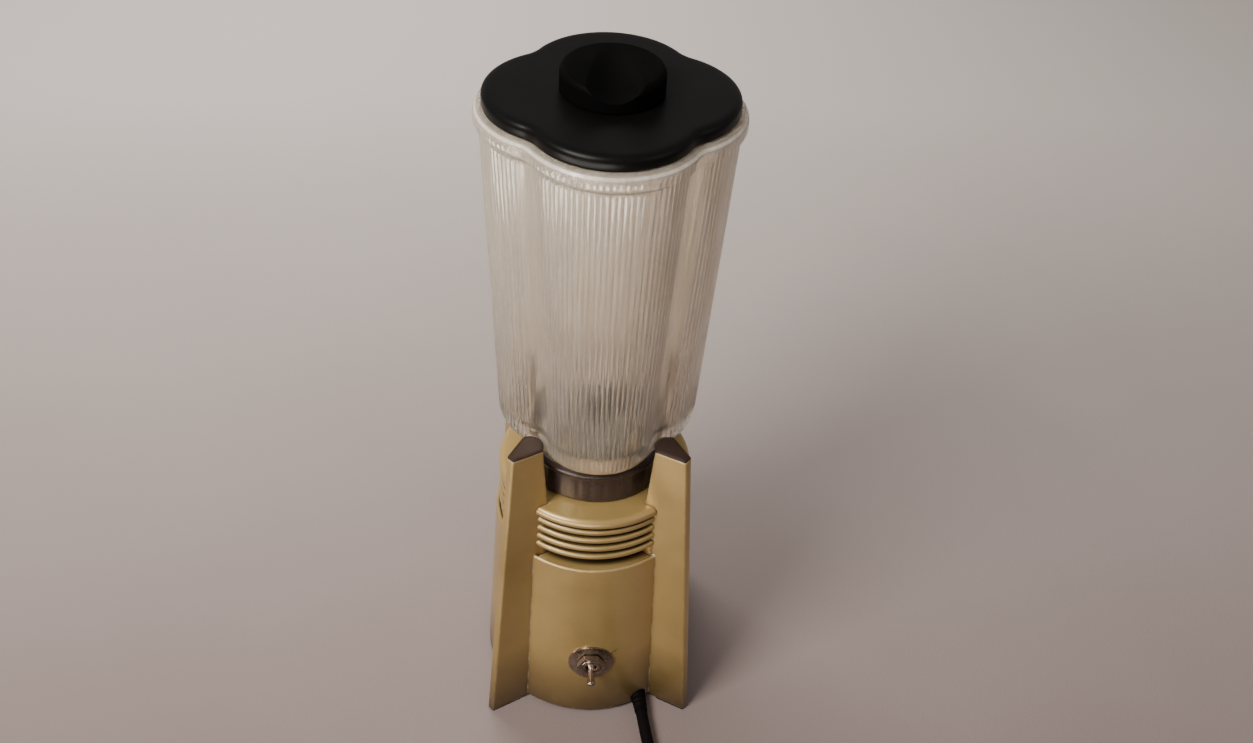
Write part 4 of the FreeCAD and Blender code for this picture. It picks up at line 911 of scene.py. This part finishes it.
@dataclass
class ToggleSwitch:
    """The bat lever and the threaded bushing of the toggle switch at the front.

    Attributes:
        pivot: The y of the lever's cross pin.
        rest: How far the lever points down at rest, in degrees.
        thread_start: The y of the bushing's inner end.
    """

    height: float = 46.5
    pivot: float = -60.75
    rest: float = 17.0
    thread_start: float = -55.0
    thread_pitch: float = 0.8

    def add_lever(self) -> Item:
        """A bat lever: a ball, a thin neck and a long club that swells to a round tip."""
        profile = np.array([[2.75, 0.0], [2.6, 0.9], [2.1, 1.8], [1.45, 2.6], [1.3, 3.4], [1.4, 5.0],
                            [1.75, 7.4], [2.15, 9.4], [2.42, 10.8], [2.5, 11.6], [2.36, 12.3], [1.8, 12.8],
                            [0.9, 12.98], [0.05, 13.0]])
        ball = np.array([[0.05, -2.8], [1.4, -2.42], [2.3, -1.6]])
        tilt = math.radians(self.rest)
        grid = carried(lathe(np.vstack([ball, profile]), 40), (0.0, self.pivot, self.height),
                       (0.0, -math.cos(tilt), -math.sin(tilt)))
        item = surface("switch_bat", grid, cap_ends=True)
        return install(item, NICKEL, Body.LEVER, Slot.CHROME, "switch_lever")

    def add_bushing(self) -> Item:
        """A bushing with a fine thread: its radius rises and falls along its length."""
        length = np.linspace(0.0, 8.55, 70)
        outside = np.stack([5.72 + 0.16 * np.cos(length * 2 * math.pi / self.thread_pitch), length], axis=-1)
        inside = np.array([[5.3, 8.6], [3.5, 8.6], [3.3, 8.3], [3.3, 0.0]])
        grid = carried(lathe(np.vstack([outside, inside]), 56), (0.0, self.thread_start, self.height),
                       (0.0, -1.0, 0.0))
        item = surface("switch_thread", grid, closed_rows=True, sharp=60.0)
        return install(item, NICKEL, Body.BASE, Slot.CHROME, "switch_bushing")

    def build(self) -> None:
        """Make the switch's turned pieces."""
        self.add_lever()
        self.add_bushing()


# ---- jar

@dataclass
class Jar:
    """The ribbed lobed glass and its screw collar."""

    rib_pairs: int = 15
    rib_height: float = 0.52
    samples_per_rib: int = 8
    hollow_samples: int = 22
    wall: float = 4.2
    levels: tuple = ((165.6, 0.0, 35.5, 22.0), (181.0, 0.0, 35.5, 22.0), (183.0, 6.0, 38.5, 22.0),
                     (186.5, 14.0, 45.5, 16.0), (190.5, 20.5, 50.2, 11.5), (194.0, 23.0, 51.8, 9.6),
                     (197.0, 24.0, 52.5, 9.0), (366.4, 20.25, 59.9, 15.7), (376.4, 20.0, 60.4, 16.0))
    collar_flutes: int = 36

    def shares(self) -> Array:
        """Places along the outline: fine and even on the lobes, coarser in the hollows."""
        lobe = np.linspace(-LOBE_SHARE, LOBE_SHARE, 2 * self.rib_pairs * self.samples_per_rib + 1)
        hollow = np.linspace(LOBE_SHARE, 2.0 - LOBE_SHARE, self.hollow_samples + 2)[1:-1]
        quarter = np.concatenate([lobe, hollow]) / 2.0
        return np.concatenate([quarter + step for step in range(4)])

    def ring(self, heights: Array, share: Array) -> tuple[Array, Array]:
        """Outline points and normals of the outer wall at each height."""
        table = np.array(self.levels)
        centre, reach, fillet = (np.interp(heights, table[:, 0], table[:, k]) for k in (1, 2, 3))
        return lobed_outline(share, centre, reach, fillet)

    def add_glass(self) -> Item:
        """The glass as one closed wall.

        Outside, each rib stands out by rib_height |cos|, faded out near the hollows, below the
        shoulder and at the plain band under the rim. A bead swells the rim. The inside is the same
        outline moved in by the wall.
        """
        share = self.shares()
        outer = np.concatenate([np.array([165.6, 172.0, 180.6]), np.linspace(181.4, 200.0, 14),
                                np.linspace(204.0, 360.0, 16), np.array([363.0, 365.0, 366.4]),
                                np.linspace(367.4, 371.4, 5), np.array([372.2, 372.8, 373.4, 374.4, 375.4,
                                                                        376.1, 376.4])])
        points, normals = self.ring(outer, share)
        local = np.abs(share - np.floor(share + 0.5)) * 2.0
        wave = np.abs(np.cos(local / LOBE_SHARE * self.rib_pairs * math.pi)) - 0.5
        fade_side = smooth_step((LOBE_SHARE * 0.97 - local) / 0.08)
        fade_low = smooth_step((outer - 189.0) / 8.0)
        fade_high = smooth_step((373.4 - outer) / 1.2)
        ribs = self.rib_height * (wave * fade_side)[None] * (fade_low * fade_high)[:, None]
        bead = 2.4 * smooth_step((outer - 366.4) / 3.0) * (1.0 - 0.75 * smooth_step((outer - 373.6) / 2.8))
        points = points + normals * (ribs + bead[:, None])[..., None]
        flat = np.broadcast_to(outer[:, None], points.shape[:2])
        outside = np.dstack([points, flat])
        inner = np.array([376.4, 375.6, 371.0, 366.0, 340.0, 300.0, 260.0, 220.0, 203.0, 200.0, 197.0, 194.0,
                          191.0, 188.8, 187.0, 181.0, 165.6])
        points, normals = self.ring(inner, share)
        depth = np.where(inner > 375.9, self.wall - 0.8, self.wall)
        depth = depth + 2.0 * smooth_step((203.0 - inner) / 8.0) * smooth_step((inner - 181.0) / 6.0)
        points = points - normals * depth[:, None, None]
        inside = np.dstack([points, np.broadcast_to(inner[:, None], points.shape[:2])])
        item = surface("glass_wall", np.concatenate([outside, inside]), closed_rows=True, sharp=50.0)
        return install(item, GLASS, Body.JAR, Slot.GLASS, "glass_jar")

    def add_collar(self) -> Item:
        """The screw collar: a turned ring whose side has shallow rounded grip flutes."""
        profile = np.array([[29.8, 158.05], [37.6, 158.05], [38.4, 158.4], [38.95, 159.3], [38.98, 160.5],
                            [38.98, 162.0], [38.98, 164.0], [38.98, 168.0], [38.98, 172.0], [38.98, 174.0],
                            [38.98, 175.2], [39.4, 175.9], [39.85, 176.5], [39.88, 177.9], [39.6, 178.4],
                            [36.0, 178.45], [35.85, 178.0], [35.85, 161.05], [29.8, 161.0]])
        grid = lathe(profile, self.collar_flutes * 12)
        turn = angles(self.collar_flutes * 12)
        band = smooth_step((profile[:, 1] - 160.4) / 2.0) * smooth_step((175.0 - profile[:, 1]) / 1.5)
        band = band * (profile[:, 0] > 38.9)
        cut = 0.22 * (0.5 - 0.5 * np.cos(turn * self.collar_flutes)) ** 2
        shrink = 1.0 - band[:, None] * cut[None] / 39.0
        grid[..., :2] *= shrink[..., None]
        item = surface("screw_collar", grid, closed_rows=True, sharp=60.0)
        return install(item, COLLAR_PLASTIC, Body.JAR, Slot.COLLAR, "jar_collar")

    def build(self) -> None:
        """Make the glass and the collar."""
        self.add_glass()
        self.add_collar()


# ---- lid

@dataclass
class Lid:
    """The lobed lid and the filler cap with its thumb scoop."""

    centre: float = 20.0
    reach: float = 58.9
    fillet: float = 17.9
    foot: float = 376.6
    top: float = 384.0
    hole: float = 19.3
    skirt_inset: float = 3.8
    boss: float = 24.0
    crown: float = 395.7
    seat: float = 384.2
    scoop: float = 17.0
    scoop_slope: float = 8.8

    def add_plate(self) -> Item:
        """The lid as one closed shell.

        Each row is the outline moved along its normal, or a blend of it with the round filler hole:
        (1 - k) outline + k hole. The crown of the plate dips slightly towards the middle.
        """
        share = np.arange(480) / 120.0
        inset = self.skirt_inset
        # inset, hole share and height above the top or above the foot
        above = np.array([[6.0, 1.0, -0.5], [6.0, 0.97, -0.15], [6.0, 0.9, -0.1], [6.0, 0.6, -0.1],
                          [6.0, 0.3, -0.1], [6.0, 0.05, 0.0], [5.0, 0.0, 0.0], [3.6, 0.0, -0.02],
                          [2.6, 0.0, -0.15], [1.7, 0.0, -0.5], [0.95, 0.0, -1.05], [0.4, 0.0, -1.8],
                          [0.1, 0.0, -2.6], [0.0, 0.0, -3.5]]) + [0.0, 0.0, self.top]
        below = np.array([[0.0, 0.0, 1.0], [0.25, 0.0, 0.4], [0.9, 0.0, 0.0], [3.2, 0.0, 0.0],
                          [3.6, 0.0, -0.3], [inset, 0.0, -1.0], [inset, 0.0, -3.5], [inset + 0.6, 0.0, -4.5],
                          [inset + 2.4, 0.0, -4.5], [inset + 3.0, 0.0, -3.5], [inset + 3.0, 0.0, -0.4],
                          [inset + 3.4, 0.05, 0.0], [8.0, 0.5, 0.0], [8.0, 1.0, 0.0]]) + [0.0, 0.0, self.foot]
        rows = np.vstack([above, below])
        count = len(rows)
        points, normals = lobed_outline(share, np.full(count, self.centre), np.full(count, self.reach),
                                        np.full(count, self.fillet))
        points = points - normals * rows[:, 0][:, None, None]
        bearing = np.arctan2(points[..., 1], points[..., 0])
        hole = self.hole * np.stack([np.cos(bearing), np.sin(bearing)], axis=-1)
        blend = rows[:, 1][:, None, None]
        points = points * (1.0 - blend) + hole * blend
        grid = np.dstack([points, np.broadcast_to(rows[:, 2][:, None], points.shape[:2])])
        item = surface("lid_plate", grid, closed_rows=True, sharp=60.0)
        return install(item, LID_PLASTIC, Body.LID, Slot.LID, "lid")

    def add_cap(self) -> Item:
        """The filler cap: a round boss with a thumb scoop, above a hollow plug.

        The top is a height over a disc: the softer minimum of a crown with a rounded rim and a
        round trough whose axis falls towards the front, -k log(exp(-a / k) + exp(-b / k)).
        """
        turn = angles(160)
        reach = np.concatenate([np.linspace(0.35, 20.0, 40), np.linspace(20.4, self.boss, 14)])[:, None]
        x, y = reach * np.cos(turn), reach * np.sin(turn)
        over = np.clip(reach - (self.boss - 3.0), 0.0, 3.0)
        crown = self.crown - 3.0 + np.sqrt(9.0 - over ** 2 + 1e-9)
        slope = math.radians(self.scoop_slope)
        axis = self.seat + 5.0 + (self.scoop + (y + self.boss) * math.sin(slope)) / math.cos(slope)
        drop = np.sqrt(np.clip(self.scoop ** 2 - x ** 2, 0.0, None)) / math.cos(slope)
        trough = np.where(np.abs(x) < self.scoop, axis - drop, axis)
        softness = 0.35
        low = np.minimum(crown, trough)
        blend = np.log(np.exp((low - crown) / softness) + np.exp((low - trough) / softness))
        height = low - softness * blend
        top = np.stack([x, y, np.maximum(height, self.seat + 0.8)], axis=-1)
        wall_top = top[-1, :, 2]
        share = np.linspace(0.0, 1.0, 8)[1:, None]
        wall_z = wall_top[None] * (1 - share) + (self.seat + 0.4) * share
        wall = np.dstack([np.broadcast_to(x[-1], wall_z.shape), np.broadcast_to(y[-1], wall_z.shape), wall_z])
        profile = np.array([[23.6, 0.02], [19.2, 0.0], [19.0, -0.3], [19.0, -10.4], [18.6, -10.95],
                            [17.0, -10.95], [16.5, -10.4], [16.5, -0.2], [16.2, 0.1], [0.35, 0.1]])
        below = lathe(profile + [0.0, self.seat], 160)
        item = surface("filler_boss", np.concatenate([top, wall, below]), cap_ends=True, sharp=55.0)
        return install(item, CAP_PLASTIC, Body.CAP, Slot.LID, "filler_cap")

    def build(self) -> None:
        """Make the lid and its cap."""
        self.add_plate()
        self.add_cap()


# ---- everything


def main() -> None:
    """Build the scene: camera and lead first, then the finishes and each sub-assembly."""
    logging.basicConfig(level=logging.INFO, format="%(message)s")
    Studio().build()
    MainsLead().build()
    dress_frame()
    ToggleSwitch().build()
    Jar().build()
    Lid().build()


if __name__ == "__main__":
    main()
